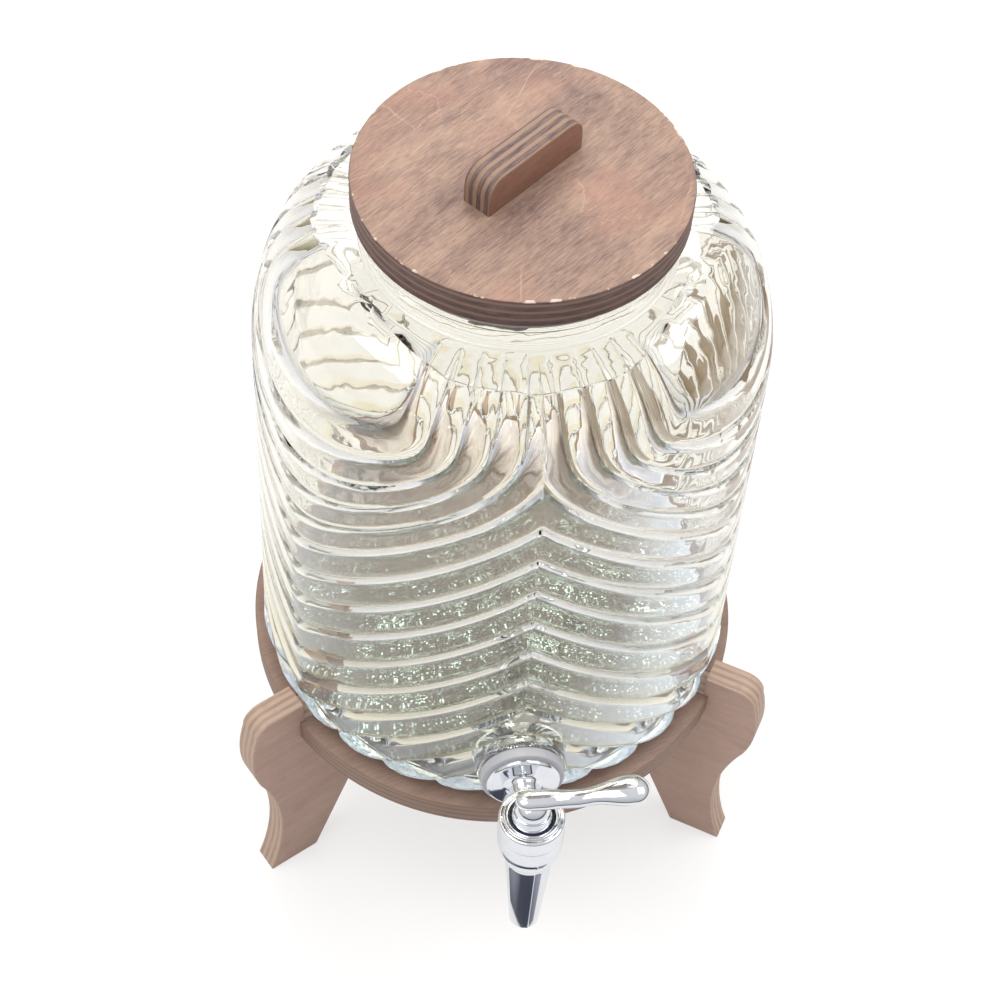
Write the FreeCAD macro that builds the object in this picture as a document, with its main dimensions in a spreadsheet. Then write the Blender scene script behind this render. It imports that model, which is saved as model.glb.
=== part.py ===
import FreeCAD, Part
import math
import os

import Sketcher

# A ribbed glass dispenser jar with a lever tap, a plywood lid and a three-legged plywood stand.
# Millimetres, +Z up, front along -Y. The origin is on the jar's axis, on the floor between the feet.

Vector = FreeCAD.Vector
doc = FreeCAD.newDocument("dispenser")
sheet = doc.addObject("Spreadsheet::Sheet", "Sizes")


class Size:
    # A number together with the sheet formula that it stands for.
    def __init__(self, number, formula):
        self.number = number
        self.formula = formula

    def __float__(self):
        return float(self.number)

    def __add__(self, other):
        return Size(self.number + as_size(other).number, f"({self.formula} + {as_size(other).formula})")

    def __sub__(self, other):
        return Size(self.number - as_size(other).number, f"({self.formula} - {as_size(other).formula})")

    def __mul__(self, other):
        return Size(self.number * as_size(other).number, f"({self.formula} * {as_size(other).formula})")

    def __truediv__(self, other):
        return Size(self.number / as_size(other).number, f"({self.formula} / {as_size(other).formula})")

    def __neg__(self):
        return Size(-self.number, f"(0 - {self.formula})")


def as_size(value):
    return value if isinstance(value, Size) else Size(value, repr(float(value)))


def size(name, number):
    row = size.rows = size.rows + 1
    sheet.set(f"A{row}", name)
    sheet.set(f"B{row}", str(number))
    sheet.setAlias(f"B{row}", name)
    return Size(number, f"Sizes.{name}")


size.rows = 0

# Plywood stand
ply = size("ply", 12.0)                          # sheet thickness of lid, disc, legs and handle
seat_height = size("seat_height", 116.0)         # top of the disc above the floor
disc_margin = size("disc_margin", 4.6)           # disc beyond the jar's ribs
notch_depth = size("notch_depth", 10.0)          # how far a leg is let into the disc's rim
lap_gap = size("lap_gap", 0.1)                   # glue gap in the lapped joints
lip_rise = size("lip_rise", 11.5)                # leg above the top of the disc
lip_gap = size("lip_gap", 2.0)                   # room between the jar's ribs and the legs
leg_count = 3
leg_lip = size("leg_lip", 23.6)                  # length of a leg's top, from the lip to the bulge
leg_corner = size("leg_corner", 9.0)
bulge_drop = size("bulge_drop", 35.0)            # from the disc's top down to where the waist starts
bulge_curve = size("bulge_curve", 64.0)
waist_curve = size("waist_curve", 106.0)
foot_tuck = size("foot_tuck", 1.0)               # foot behind the end of the bulge
foot_width = size("foot_width", 24.5)
ledge_length = size("ledge_length", 40.0)        # ledge under the disc, inwards from the notch

# Glass jar, from its base up
foot_radius = size("foot_radius", 88.0)
heel_height = size("heel_height", 16.0)
low_radius = size("low_radius", 98.8)            # between the ribs, at the bottom of the wall
wall_height = size("wall_height", 164.0)
wall_taper = size("wall_taper", 3.8)             # how much narrower the wall is at its top
shoulder_rise = size("shoulder_rise", 54.0)
shoulder_step = size("shoulder_step", 6.0)       # flat ring round the foot of the neck
neck_rise = size("neck_rise", 15.0)
mouth_radius = size("mouth_radius", 50.0)
neck_wall = size("neck_wall", 6.0)
rim_bead = size("rim_bead", 2.0)                 # how far the rim stands out of the neck
rim_height = size("rim_height", 6.0)
glass_wall = size("glass_wall", 4.0)
glass_floor = size("glass_floor", 8.0)
inner_heel = size("inner_heel", 12.0)

# Rib pattern, measured on the unrolled wall
rib_depth = size("rib_depth", 2.6)
pattern_radius = size("pattern_radius", 100.0)   # radius at which arc distances are counted
panel_count = 3                                  # smooth panels round the shoulder
panel_drop = size("panel_drop", 25.0)            # lowest point of a smooth panel below the foot of the neck
panel_half = size("panel_half", 49.0)            # half the width of a smooth panel
rib_pitch = size("rib_pitch", 16.6)              # trough spacing under a panel
rib_growth = size("rib_growth", 3.0)             # added to the pitch of the straight ribs
round_ribs = 5                                   # ribs that bend up to the neck
rib_slope = 0.78                                 # rise of a rib over its arc distance
flute_count = 9                                  # upright flutes between two smooth panels
trough_round = size("trough_round", 110.0)       # roundness of the trough right under a panel
trough_fade = 2.0                                # ribs over which the trough gets sharper
bend_reach = size("bend_reach", 0.33)            # how soon a rib bends upright
bend_power = 8
neck_fade = size("neck_fade", 12.0)              # ribs die out over this length below the neck
base_fade = size("base_fade", 10.0)              # and over this length above the base

# Tap, measured from the crossing of its shank and its barrel
tap_height = size("tap_height", 32.0)            # hole above the jar's base
tap_tilt = size("tap_tilt", 5.0)                 # degrees that the boss faces upwards
boss_rise = size("boss_rise", 4.6)               # boss face in front of the ribs
boss_radius = size("boss_radius", 18.5)
boss_depth = size("boss_depth", 13.5)
hole_gap = size("hole_gap", 0.6)
thread_gap = size("thread_gap", 0.3)
shank_radius = size("shank_radius", 8.0)
shank_bore = size("shank_bore", 4.5)
shank_tail = size("shank_tail", 2.5)             # thread that stands out of the nut
gasket_radius = size("gasket_radius", 17.0)
gasket_thick = size("gasket_thick", 4.5)
rear_gasket_radius = size("rear_gasket_radius", 14.0)
rear_gasket_thick = size("rear_gasket_thick", 2.5)
washer_radius = size("washer_radius", 13.0)
washer_thick = size("washer_thick", 1.2)
nut_radius = size("nut_radius", 13.5)            # across corners, halved
nut_thick = size("nut_thick", 6.0)
flange_radius = size("flange_radius", 15.0)
flange_thick = size("flange_thick", 2.5)
flange_dome = size("flange_dome", 1.5)
tap_neck_wall = size("tap_neck_wall", 1.4)
barrel_reach = size("barrel_reach", 31.0)        # barrel axis in front of the boss face
barrel_rise = size("barrel_rise", 0.1)           # top of the bulge above the neck
barrel_bottom = size("barrel_bottom", 15.0)      # bottom of the bulge below the shank axis
barrel_top_radius = size("barrel_top_radius", 12.6)
barrel_bottom_radius = size("barrel_bottom_radius", 11.2)
barrel_curve = size("barrel_curve", 34.0)
spigot_radius = size("spigot_radius", 11.2)
spigot_height = size("spigot_height", 7.5)
spout_drop = size("spout_drop", 61.0)            # spout tip below the shank axis
spout_radius = size("spout_radius", 9.9)
spout_tip_radius = size("spout_tip_radius", 5.7)
spout_bore = size("spout_bore", 4.3)
bonnet_radius = size("bonnet_radius", 13.25)
bonnet_lip = size("bonnet_lip", 1.5)
bonnet_chamfer = size("bonnet_chamfer", 1.2)
bonnet_gap = size("bonnet_gap", 0.1)

# Lever and valve plug, in the same frame as the tap
plug_radius = size("plug_radius", 7.93)
plug_gap = size("plug_gap", 0.07)                # running fit of the plug in the barrel
plug_bottom = size("plug_bottom", 12.5)
plug_flange_radius = size("plug_flange_radius", 10.4)
plug_flange_thick = size("plug_flange_thick", 2.7)
port_radius = size("port_radius", 4.4)
ring_section = size("ring_section", 1.0)
ring_gap = size("ring_gap", 0.05)
ring_upper = size("ring_upper", 7.6)             # O-rings above and below the port
ring_lower = size("ring_lower", 8.6)
stem_side = size("stem_side", 8.0)
stem_height = size("stem_height", 8.0)
stem_gap = size("stem_gap", 0.05)
skirt_radius = size("skirt_radius", 8.75)
skirt_gap = size("skirt_gap", 0.55)              # dark ring round the skirt
skirt_height = size("skirt_height", 3.4)
bell_height = size("bell_height", 5.0)
hub_radius = size("hub_radius", 7.0)
hub_height = size("hub_height", 4.5)
hub_round = size("hub_round", 2.0)
lever_length = size("lever_length", 45.5)        # barrel axis to the end of the paddle
arm_width = size("arm_width", 6.6)
arm_thick = size("arm_thick", 5.4)
paddle_length = size("paddle_length", 18.0)
paddle_width = size("paddle_width", 12.6)
paddle_thick = size("paddle_thick", 7.6)
paddle_rise = size("paddle_rise", 2.2)

# Lid
lid_overhang = size("lid_overhang", 2.0)         # lid beyond the jar's rim
lid_turn = size("lid_turn", 42.0)                # degrees from +X to the handle
lid_play = size("lid_play", 3.5)                 # room round the inner disc in the mouth
seal_height = size("seal_height", 4.0)
seal_depth = size("seal_depth", 2.0)             # how deep the seal sits in the inner disc
seal_gap = size("seal_gap", 0.4)                 # free space between seal and mouth
seal_fit = size("seal_fit", 0.05)
handle_length = size("handle_length", 48.0)
handle_height = size("handle_height", 14.5)
handle_corner = size("handle_corner", 7.0)
screw_radius = size("screw_radius", 2.0)
screw_head = size("screw_head", 4.0)
screw_head_depth = size("screw_head_depth", 2.4)
screw_bite = size("screw_bite", 10.0)            # length in the handle
screw_tip = size("screw_tip", 4.0)
screw_spacing = size("screw_spacing", 26.0)
screw_fit = size("screw_fit", 0.05)
over_cut = 1.0                                   # how far cutting shapes run past a face

doc.recompute()

zero = as_size(0.0)
half_ply = ply / 2
top_radius = low_radius - wall_taper
shoulder_height = heel_height + wall_height
neck_foot_height = shoulder_height + shoulder_rise
jar_height = neck_foot_height + neck_rise
neck_radius = mouth_radius + neck_wall
neck_foot_radius = neck_radius + shoulder_step
rim_radius = neck_radius + rim_bead
panel_bottom = neck_foot_height - panel_drop
crest_radius = low_radius + rib_depth
disc_radius = crest_radius + disc_margin
lip_inner = crest_radius + lip_gap
leg_reach = lip_inner + leg_lip
bulge_bottom = seat_height - bulge_drop
foot_outer = leg_reach - foot_tuck
foot_inner = foot_outer - foot_width
leg_top = seat_height + lip_rise
disc_bottom = seat_height - ply
notch_floor = disc_radius - notch_depth
ledge_radius = notch_floor - ledge_length
boss_face = crest_radius + boss_rise
lid_height = seat_height + jar_height
lid_radius = rim_radius + lid_overhang
inner_disc_radius = mouth_radius - lid_play
nodes = []


def keep(item, name):
    # Names a finished piece and lists it for writing.
    item.Label = name
    nodes.append(item)
    return item


def bind(item, **sizes):
    for name, value in sizes.items():
        item.setExpression(name, as_size(value).formula)


# Sketches and bodies

def new_body(name):
    return doc.addObject("PartDesign::Body", name)


def origin_of(body, role):
    return next(item for item in body.Origin.OriginFeatures if item.Role == role)


def new_sketch(body, plane):
    sketch = body.newObject("Sketcher::SketchObject", f"{body.Name}_sketch")
    sketch.AttachmentSupport = [(origin_of(body, plane), "")]
    sketch.MapMode = "FlatFace"
    return sketch


def fix_point(sketch, edge, end, place):
    # Ties one end of an edge to the sketch's origin, along both axes.
    for kind, value, axis in (("DistanceX", place[0], -2), ("DistanceY", place[1], -1)):
        value = as_size(value)
        if value.number == 0:
            sketch.addConstraint(Sketcher.Constraint("PointOnObject", edge, end, axis))
        elif value.number > 0:
            row = sketch.addConstraint(Sketcher.Constraint(kind, -1, 1, edge, end, value.number))
            sketch.setExpression(f"Constraints[{row}]", value.formula)
        else:
            row = sketch.addConstraint(Sketcher.Constraint(kind, edge, end, -1, 1, -value.number))
            sketch.setExpression(f"Constraints[{row}]", (-value).formula)


def outline(sketch, points, arcs=None):
    # Closed outline through the points. An arc leaves the point it is listed under, with its radius and
    # 1 where it turns left on its way to the next point or -1 where it turns right.
    arcs = arcs or {}
    flat = [Vector(float(x), float(y), 0) for x, y in points]
    ends = []
    for index, start in enumerate(flat):
        finish = flat[(index + 1) % len(flat)]
        if index not in arcs:
            edge = sketch.addGeometry(Part.LineSegment(start, finish))
            ends.append((edge, 1, 2))
            continue
        radius, turn = arcs[index]
        chord = finish - start
        middle = (start + finish) / 2
        side = Vector(-chord.y, chord.x, 0).normalize() * turn
        centre = middle + side * math.sqrt(float(radius) ** 2 - chord.Length ** 2 / 4)
        circle = Part.Circle(centre, Vector(0, 0, 1), float(radius))
        first, last = (start, finish) if turn > 0 else (finish, start)
        angles = [math.atan2(point.y - centre.y, point.x - centre.x) for point in (first, last)]
        edge = sketch.addGeometry(Part.ArcOfCircle(circle, angles[0], angles[1]))
        row = sketch.addConstraint(Sketcher.Constraint("Radius", edge, float(radius)))
        sketch.setExpression(f"Constraints[{row}]", as_size(radius).formula)
        ends.append((edge, 1, 2) if turn > 0 else (edge, 2, 1))
    for index, (edge, _, end) in enumerate(ends):
        next_edge, next_start, _ = ends[(index + 1) % len(ends)]
        sketch.addConstraint(Sketcher.Constraint("Coincident", edge, end, next_edge, next_start))
    for (edge, start, _), place in zip(ends, points):
        fix_point(sketch, edge, start, place)


def circle_at(sketch, radius, place=(0.0, 0.0)):
    centre = Vector(float(place[0]), float(place[1]), 0)
    edge = sketch.addGeometry(Part.Circle(centre, Vector(0, 0, 1), float(radius)))
    row = sketch.addConstraint(Sketcher.Constraint("Radius", edge, float(radius)))
    sketch.setExpression(f"Constraints[{row}]", as_size(radius).formula)
    fix_point(sketch, edge, 3, place)


def feature(body, kind, sketch, **sizes):
    item = body.newObject(f"PartDesign::{kind}", f"{body.Name}_{kind.lower()}")
    item.Profile = sketch
    bind(item, **sizes)
    doc.recompute()
    return item


def pad(body, sketch, length, both_sides=False):
    item = feature(body, "Pad", sketch, Length=length)
    if both_sides:
        item.SideType = "Symmetric"
    doc.recompute()
    return item


def drill(body, sketch):
    # Cuts the sketch through the whole body, both ways.
    before = body.Shape.Volume
    item = feature(body, "Pocket", sketch)
    item.Type = "ThroughAll"
    item.SideType = "Symmetric"
    doc.recompute()
    if body.Shape.Volume >= before:
        raise ValueError(f"{body.Name}: the pocket removed nothing")
    return item


def turn(body, plane, axis, points, arcs=None, cut=False):
    # Turns an outline about the sketch's own axis, as a solid or as a cut.
    before = body.Shape.Volume if cut else 0.0
    sketch = new_sketch(body, plane)
    outline(sketch, points, arcs)
    item = feature(body, "Groove" if cut else "Revolution", sketch)
    item.ReferenceAxis = (sketch, [axis])
    item.Angle = 360
    doc.recompute()
    if cut and body.Shape.Volume >= before:
        raise ValueError(f"{body.Name}: the groove removed nothing")
    return item


# Primitives

def cylinder(radius, height, place=Vector(), axis=Vector(0, 0, 1)):
    item = doc.addObject("Part::Cylinder", "cylinder")
    bind(item, Radius=radius, Height=height)
    item.Placement = FreeCAD.Placement(place, FreeCAD.Rotation(Vector(0, 0, 1), axis))
    return item


def cone(lower, upper, height, place=Vector()):
    item = doc.addObject("Part::Cone", "cone")
    bind(item, Radius1=lower, Radius2=upper, Height=height)
    item.Placement = FreeCAD.Placement(place, FreeCAD.Rotation())
    return item


def cut(base, tool):
    item = doc.addObject("Part::Cut", "cut")
    item.Base = base
    item.Tool = tool
    doc.recompute()
    return item


def fuse(items):
    item = doc.addObject("Part::MultiFuse", "fuse")
    item.Shapes = items
    doc.recompute()
    return item


def group(items):
    item = doc.addObject("Part::Compound", "group")
    item.Links = items
    doc.recompute()
    return item


def up(height):
    return Vector(0, 0, float(height))


# Stand

def make_stand_disc():
    body = new_body("stand_disc")
    sketch = new_sketch(body, "XY_Plane")
    circle_at(sketch, disc_radius)
    pad(body, sketch, ply)
    notch = new_sketch(body, "XY_Plane")
    half_notch = half_ply + lap_gap
    rim = disc_radius + over_cut
    outline(notch, [(-half_notch, notch_floor), (half_notch, notch_floor), (half_notch, rim), (-half_notch, rim)])
    pocket = drill(body, notch)
    pattern = body.newObject("PartDesign::PolarPattern", "notches")
    pattern.Originals = [pocket]
    pattern.Axis = (origin_of(body, "Z_Axis"), [""])
    pattern.Angle = 360
    pattern.Occurrences = leg_count
    body.Tip = pattern
    body.Placement.Base = up(disc_bottom)
    return keep(body, "stand_disc")


def make_leg(name, turned):
    # The outline lies in a radial plane: X is the distance from the axis, Z the height.
    body = new_body(name)
    sketch = new_sketch(body, "XZ_Plane")
    tenon = notch_floor + lap_gap
    points = [
        (foot_inner, zero), (foot_outer, zero), (leg_reach, bulge_bottom), (leg_reach, leg_top - leg_corner),
        (leg_reach - leg_corner, leg_top), (lip_inner, leg_top), (lip_inner, seat_height), (tenon, seat_height),
        (tenon, disc_bottom), (ledge_radius, disc_bottom),
    ]
    arcs = {1: (waist_curve, -1), 2: (bulge_curve, 1), 3: (leg_corner, 1)}
    outline(sketch, points, arcs)
    pad(body, sketch, ply, both_sides=True)
    body.Placement = FreeCAD.Placement(Vector(), FreeCAD.Rotation(Vector(0, 0, 1), turned))
    return keep(body, name)


# Ribbed glass. A point of the wall is given by its arc distance from the middle of a smooth panel and by
# its length up the jar's side, which equals the height on the straight wall. Half a panel is the pattern:
# it is mirrored at both its edges and repeated round the jar.

half_panel = math.pi / panel_count
arc_end = half_panel * float(pattern_radius)
line_points = 11
side_samples = 240
solve_steps = 48
same_point = 1e-4


def jar_side():
    # Rows of length, radius, height and outward normal, from the base over the heel, wall and shoulder.
    places = []
    for step in range(side_samples):
        angle = math.pi / 2 * step / side_samples
        swing = float(foot_radius) + float(low_radius - foot_radius) * math.sin(angle)
        places.append((swing, float(heel_height) * (1 - math.cos(angle))))
    for step in range(side_samples):
        share = step / side_samples
        radius = float(low_radius) + float(top_radius - low_radius) * share
        places.append((radius, float(heel_height) + float(shoulder_height - heel_height) * share))
    for step in range(side_samples + 1):
        angle = math.pi / 2 * step / side_samples
        radius = float(neck_foot_radius) + float(top_radius - neck_foot_radius) * math.cos(angle)
        rise = float(neck_foot_height - shoulder_height) * math.sin(angle)
        places.append((radius, float(shoulder_height) + rise))
    rows = []
    length = 0.0
    for (radius, height), (next_radius, next_height) in zip(places, places[1:]):
        out, climb = next_radius - radius, next_height - height
        step = math.hypot(out, climb)
        rows.append((length, radius, height, climb / step, -out / step))
        length += step
    rows.append((length, *places[-1], 0.0, 1.0))
    shift = rows[side_samples][2] - rows[side_samples][0]
    return [(row[0] + shift, *row[1:]) for row in rows]


side = jar_side()
side_low = side[0][0]
side_high = side[-1][0]


def solve(rule, low, high):
    # Middle of a bracket after halving: the rule is true at the low end and false at the high end.
    for _ in range(solve_steps):
        middle = (low + high) / 2
        if rule(middle):
            low = middle
        else:
            high = middle
    return (low + high) / 2


def rib_foot(number, arc):
    # Height of a rib line before its bend: a trough that gets sharper downwards, and a straight rise.
    round_off = float(trough_round) * math.exp(-number / trough_fade)
    trough = float(panel_bottom) - float(rib_pitch) * number - float(rib_growth) * max(number - round_ribs, 0)
    return trough + rib_slope * (math.hypot(arc, round_off) - round_off)


def rib_bend(share):
    # Rise that turns a rib line upright as it nears its own flute.
    return float(bend_reach) * share ** bend_power / (1 - share)


# The middle flute between two panels is centred, so its line reaches the neck at the edge of the pattern.
middle_flute = flute_count / 2
rise_left = side_high - rib_foot(middle_flute, arc_end)
corner_share = solve(lambda share: rib_bend(share) < rise_left, 0.0, 1.0)
flute_pitch = (arc_end / corner_share - float(panel_half)) / middle_flute


def rib_height(number, arc):
    share = arc / (float(panel_half) + flute_pitch * number)
    if share >= 1:
        return math.inf
    return rib_foot(number, arc) + rib_bend(share)


def rib_line(number):
    # Places along a rib line, from the panel's middle or the base to the pattern's edge or the neck,
    # closer together towards the far end.
    low_arc = 0.0
    if rib_height(number, 0.0) < side_low:
        low_arc = solve(lambda arc: rib_height(number, arc) < side_low, 0.0, arc_end)
    high_arc = arc_end
    if rib_height(number, arc_end) > side_high:
        high_arc = solve(lambda arc: rib_height(number, arc) < side_high, low_arc, arc_end)
    places = []
    for index in range(line_points):
        share = 1 - (1 - index / (line_points - 1)) ** 1.5
        arc = low_arc + (high_arc - low_arc) * share
        places.append((arc, min(max(rib_height(number, arc), side_low), side_high)))
    return places


def wall_point(place, swell):
    # Point of the wall, raised by the swell, which dies out towards the neck and the base.
    arc, length = place
    index = min(max(sum(row[0] <= length for row in side) - 1, 0), len(side) - 2)
    first, second = side[index], side[index + 1]
    share = (length - first[0]) / (second[0] - first[0])
    radius, height, out, climb = [a + (b - a) * share for a, b in zip(first[1:], second[1:])]
    fade = min(1.0, (side_high - length) / float(neck_fade)) * min(1.0, (length - side_low) / float(base_fade))
    raised = radius + out * swell * fade
    angle = arc / float(pattern_radius)
    lift = max(climb, 0.0) * swell * fade
    return Vector(raised * math.cos(angle), raised * math.sin(angle), height + lift)


def swell_at(share):
    # Height of a rib's rounded back at a share of the way from one crease to the next.
    return 4 * float(rib_depth) * share * (1 - share)


def smooth_row(points):
    # Poles, counts and knots of the smooth curve through evenly counted points. A row that has shrunk to
    # one point keeps as many poles.
    if points[0].isEqual(points[len(points) // 2], same_point):
        return [points[0]] * (len(points) + 2), [], []
    curve = Part.BSplineCurve()
    curve.interpolate(Points=points, Parameters=[index / (len(points) - 1) for index in range(len(points))])
    return curve.getPoles(), curve.getMultiplicities(), curve.getKnots()


def spline_face(rows, counts, knots, cross_degree):
    # Face from rows of poles that run along a rib. Across the rows it has one piece.
    ends = cross_degree + 1
    surface = Part.BSplineSurface()
    surface.buildFromPolesMultsKnots(
        [list(poles) for poles in zip(*rows)], counts, [ends, ends], knots, [0.0, 1.0], False, False, 3, cross_degree)
    return surface.toShape()


def rib_face(low, high):
    # One rib, or a part of one, between two rib lines: a parabola across, from crease to crease, through
    # the wall's points half way between the lines.
    crease = math.floor(low)
    lower, upper = rib_line(low), rib_line(high)
    between = [((a[0] + b[0]) / 2, (a[1] + b[1]) / 2) for a, b in zip(lower, upper)]
    numbers = [solve(lambda trial: rib_height(trial, arc) > length, low, high) for arc, length in between]
    first, counts, knots = smooth_row([wall_point(place, swell_at(low - crease)) for place in lower])
    middle = smooth_row([wall_point(a, swell_at(b - crease)) for a, b in zip(between, numbers)])[0]
    last = smooth_row([wall_point(place, swell_at(high - crease)) for place in upper])[0]
    pulled = [b * 2 - (a + c) / 2 for a, b, c in zip(first, middle, last)]
    return spline_face([first, pulled, last], counts, knots, 2)


def panel_face():
    # Half of a smooth panel, as a fan from the first rib line to the panel's top middle, a cubic across.
    line = rib_line(0)

    def row(share):
        places = [(arc * (1 - share), length + (side_high - length) * share) for arc, length in line]
        return smooth_row([wall_point(place, 0.0) for place in places])

    first, counts, knots = row(0.0)
    third, later, last = row(1 / 3)[0], row(2 / 3)[0], row(1.0)[0]
    second_poles = []
    third_poles = []
    for a, b, c, d in zip(first, third, later, last):
        second_poles.append((b * 18 - c * 9 - a * 5 + d * 2) / 6)
        third_poles.append((c * 18 - b * 9 + a * 2 - d * 5) / 6)
    return spline_face([first, second_poles, third_poles, last], counts, knots, 3)


def rib_stops():
    # Rib numbers at which a face starts or ends: whole ribs, and the lines that meet a corner.
    last = solve(lambda number: rib_height(number, arc_end) > side_low, round_ribs, 10 * round_ribs)
    base_corner = solve(lambda number: rib_height(number, 0.0) > side_low, 0.0, last)
    return sorted({*range(math.ceil(last)), middle_flute, base_corner, last})


def ribbed_shell():
    stops = rib_stops()
    faces = [panel_face()] + [rib_face(low, high) for low, high in zip(stops, stops[1:])]
    mirrored = [face.mirror(Vector(), Vector(0, 1, 0)) for face in faces]
    whole = []
    for index in range(panel_count):
        for face in faces + mirrored:
            copy = face.copy()
            copy.rotate(Vector(), Vector(0, 0, 1), 90 + 360 / panel_count * index)
            whole.append(copy)
    shell = Part.makeShell(whole)
    shell.sewShape()
    return shell


def flat_cap(shell, height):
    real = [edge for edge in shell.Edges if not edge.Degenerated and edge.Length > same_point]
    level = [edge for edge in real if max(abs(point.Point.z - height) for point in edge.Vertexes) < same_point
             and abs(edge.valueAt(sum(edge.ParameterRange) / 2).z - height) < same_point]
    return Part.Face(Part.Wire(Part.__sortEdges__(level)))


def jar_hollow():
    # Inside of the jar: flat floor, rounded heel, straight wall, shoulder and mouth.
    heel = float(inner_heel)
    inner_low = float(low_radius - glass_wall)
    inner_top = float(top_radius - glass_wall)
    floor = float(glass_floor)
    bend = math.sqrt(0.5)
    inner_neck = float(neck_foot_height - glass_wall)
    mouth = float(mouth_radius)
    rim = float(jar_height) + over_cut
    shoulder = float(shoulder_height)
    points = [Vector(0, 0, floor), Vector(inner_low - heel, 0, floor), Vector(inner_low, 0, floor + heel),
              Vector(inner_top, 0, shoulder), Vector(mouth, 0, inner_neck), Vector(mouth, 0, rim), Vector(0, 0, rim)]
    heel_middle = Vector(inner_low - heel * (1 - bend), 0, floor + heel * (1 - bend))
    shoulder_middle = Vector(mouth + (inner_top - mouth) * bend, 0, shoulder + (inner_neck - shoulder) * bend)
    edges = [
        Part.LineSegment(points[0], points[1]), Part.Arc(points[1], heel_middle, points[2]),
        Part.LineSegment(points[2], points[3]), Part.Arc(points[3], shoulder_middle, points[4]),
        Part.LineSegment(points[4], points[5]), Part.LineSegment(points[5], points[6]),
        Part.LineSegment(points[6], points[0]),
    ]
    face = Part.Face(Part.Wire([edge.toShape() for edge in edges]))
    return face.revolve(Vector(), Vector(0, 0, 1), 360)


def tap_out():
    tilt = math.radians(float(tap_tilt))
    return Vector(0, -math.cos(tilt), math.sin(tilt))


def make_glass_jar():
    shell = ribbed_shell()
    caps = [flat_cap(shell, 0.0), flat_cap(shell, float(neck_foot_height))]
    closed = Part.makeShell(shell.Faces + caps)
    closed.sewShape()
    outer = Part.makeSolid(closed)
    neck_low = neck_foot_height - glass_wall
    neck = Part.makeCylinder(float(neck_radius), float(jar_height - neck_low), up(neck_low))
    rim = Part.makeCylinder(float(rim_radius), float(rim_height), up(jar_height - rim_height))
    glass = outer.fuse([neck, rim]).cut(jar_hollow())
    face = Vector(0, -float(boss_face), float(tap_height))
    boss = Part.makeCylinder(float(boss_radius), float(boss_depth), face, -tap_out())
    start = face + tap_out() * over_cut
    hole = Part.makeCylinder(float(shank_radius + hole_gap), float(boss_depth) + 2 * over_cut, start, -tap_out())
    item = doc.addObject("Part::Feature", "glass_jar")
    item.Shape = glass.fuse(boss).cut(hole)
    item.Placement.Base = up(seat_height)
    return keep(item, "glass_jar")


# Tap. Its own frame has Y along the shank towards the jar and Z up the barrel.

tap_origin = Vector(0, -float(boss_face), float(seat_height + tap_height)) + tap_out() * float(barrel_reach)
tap_frame = FreeCAD.Placement(tap_origin, FreeCAD.Rotation(Vector(1, 0, 0), -float(tap_tilt)))
along_shank = Vector(0, 1, 0)
barrel_bore = plug_radius + plug_gap
tap_neck_radius = shank_bore + tap_neck_wall
barrel_top = tap_neck_radius + barrel_rise
spigot_top = barrel_top + spigot_height
counter_radius = plug_flange_radius + plug_gap
counter_floor = spigot_top - plug_flange_thick - bonnet_gap
plug_floor = plug_bottom + plug_gap
glass_inside = barrel_reach + boss_depth
washer_start = glass_inside + rear_gasket_thick
nut_start = washer_start + washer_thick
shank_end = nut_start + nut_thick + shank_tail
flange_back = barrel_reach - gasket_thick
flange_front = flange_back - flange_thick


def make_tap_body():
    body = new_body("tap_body")
    barrel = [
        (zero, -spout_drop), (spout_tip_radius, -spout_drop), (spout_radius, -barrel_bottom),
        (barrel_bottom_radius, -barrel_bottom), (barrel_top_radius, barrel_top), (spigot_radius, barrel_top),
        (spigot_radius, spigot_top), (zero, spigot_top),
    ]
    turn(body, "XZ_Plane", "V_Axis", barrel, {3: (barrel_curve, 1)})
    dome_radius = flange_radius - flange_dome
    shank = [
        (zero, zero), (shank_end, zero), (shank_end, shank_radius), (flange_back, shank_radius),
        (flange_back, flange_radius), (flange_front + flange_dome, flange_radius), (flange_front, dome_radius),
        (flange_front, tap_neck_radius), (zero, tap_neck_radius),
    ]
    turn(body, "YZ_Plane", "H_Axis", shank)
    top = spigot_top + over_cut
    tip = -spout_drop - over_cut
    seat = [
        (zero, tip), (spout_bore, tip), (spout_bore, -plug_floor), (barrel_bore, -plug_floor),
        (barrel_bore, counter_floor), (counter_radius, counter_floor), (counter_radius, top), (zero, top),
    ]
    turn(body, "XZ_Plane", "V_Axis", seat, cut=True)
    inlet_end = shank_end + over_cut
    inlet = [(zero, zero), (inlet_end, zero), (inlet_end, shank_bore), (zero, shank_bore)]
    turn(body, "YZ_Plane", "H_Axis", inlet, cut=True)
    body.Placement = tap_frame
    return keep(body, "tap_body")


def make_ring(name, radius, hole, thick, start):
    # A flat ring on the shank that starts at a distance from the barrel's axis.
    ring = cut(cylinder(radius, thick), cylinder(hole, thick))
    local = FreeCAD.Placement(along_shank * float(start), FreeCAD.Rotation(Vector(0, 0, 1), along_shank))
    ring.Placement = tap_frame.multiply(local)
    return keep(ring, name)


def make_tap_lock_nut():
    hexagon = doc.addObject("Part::Prism", "hexagon")
    hexagon.Polygon = 6
    bind(hexagon, Circumradius=nut_radius, Height=nut_thick)
    nut = cut(hexagon, cylinder(shank_radius + thread_gap, nut_thick))
    local = FreeCAD.Placement(along_shank * float(nut_start), FreeCAD.Rotation(Vector(0, 0, 1), along_shank))
    nut.Placement = tap_frame.multiply(local)
    return keep(nut, "tap_lock_nut")


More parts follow.
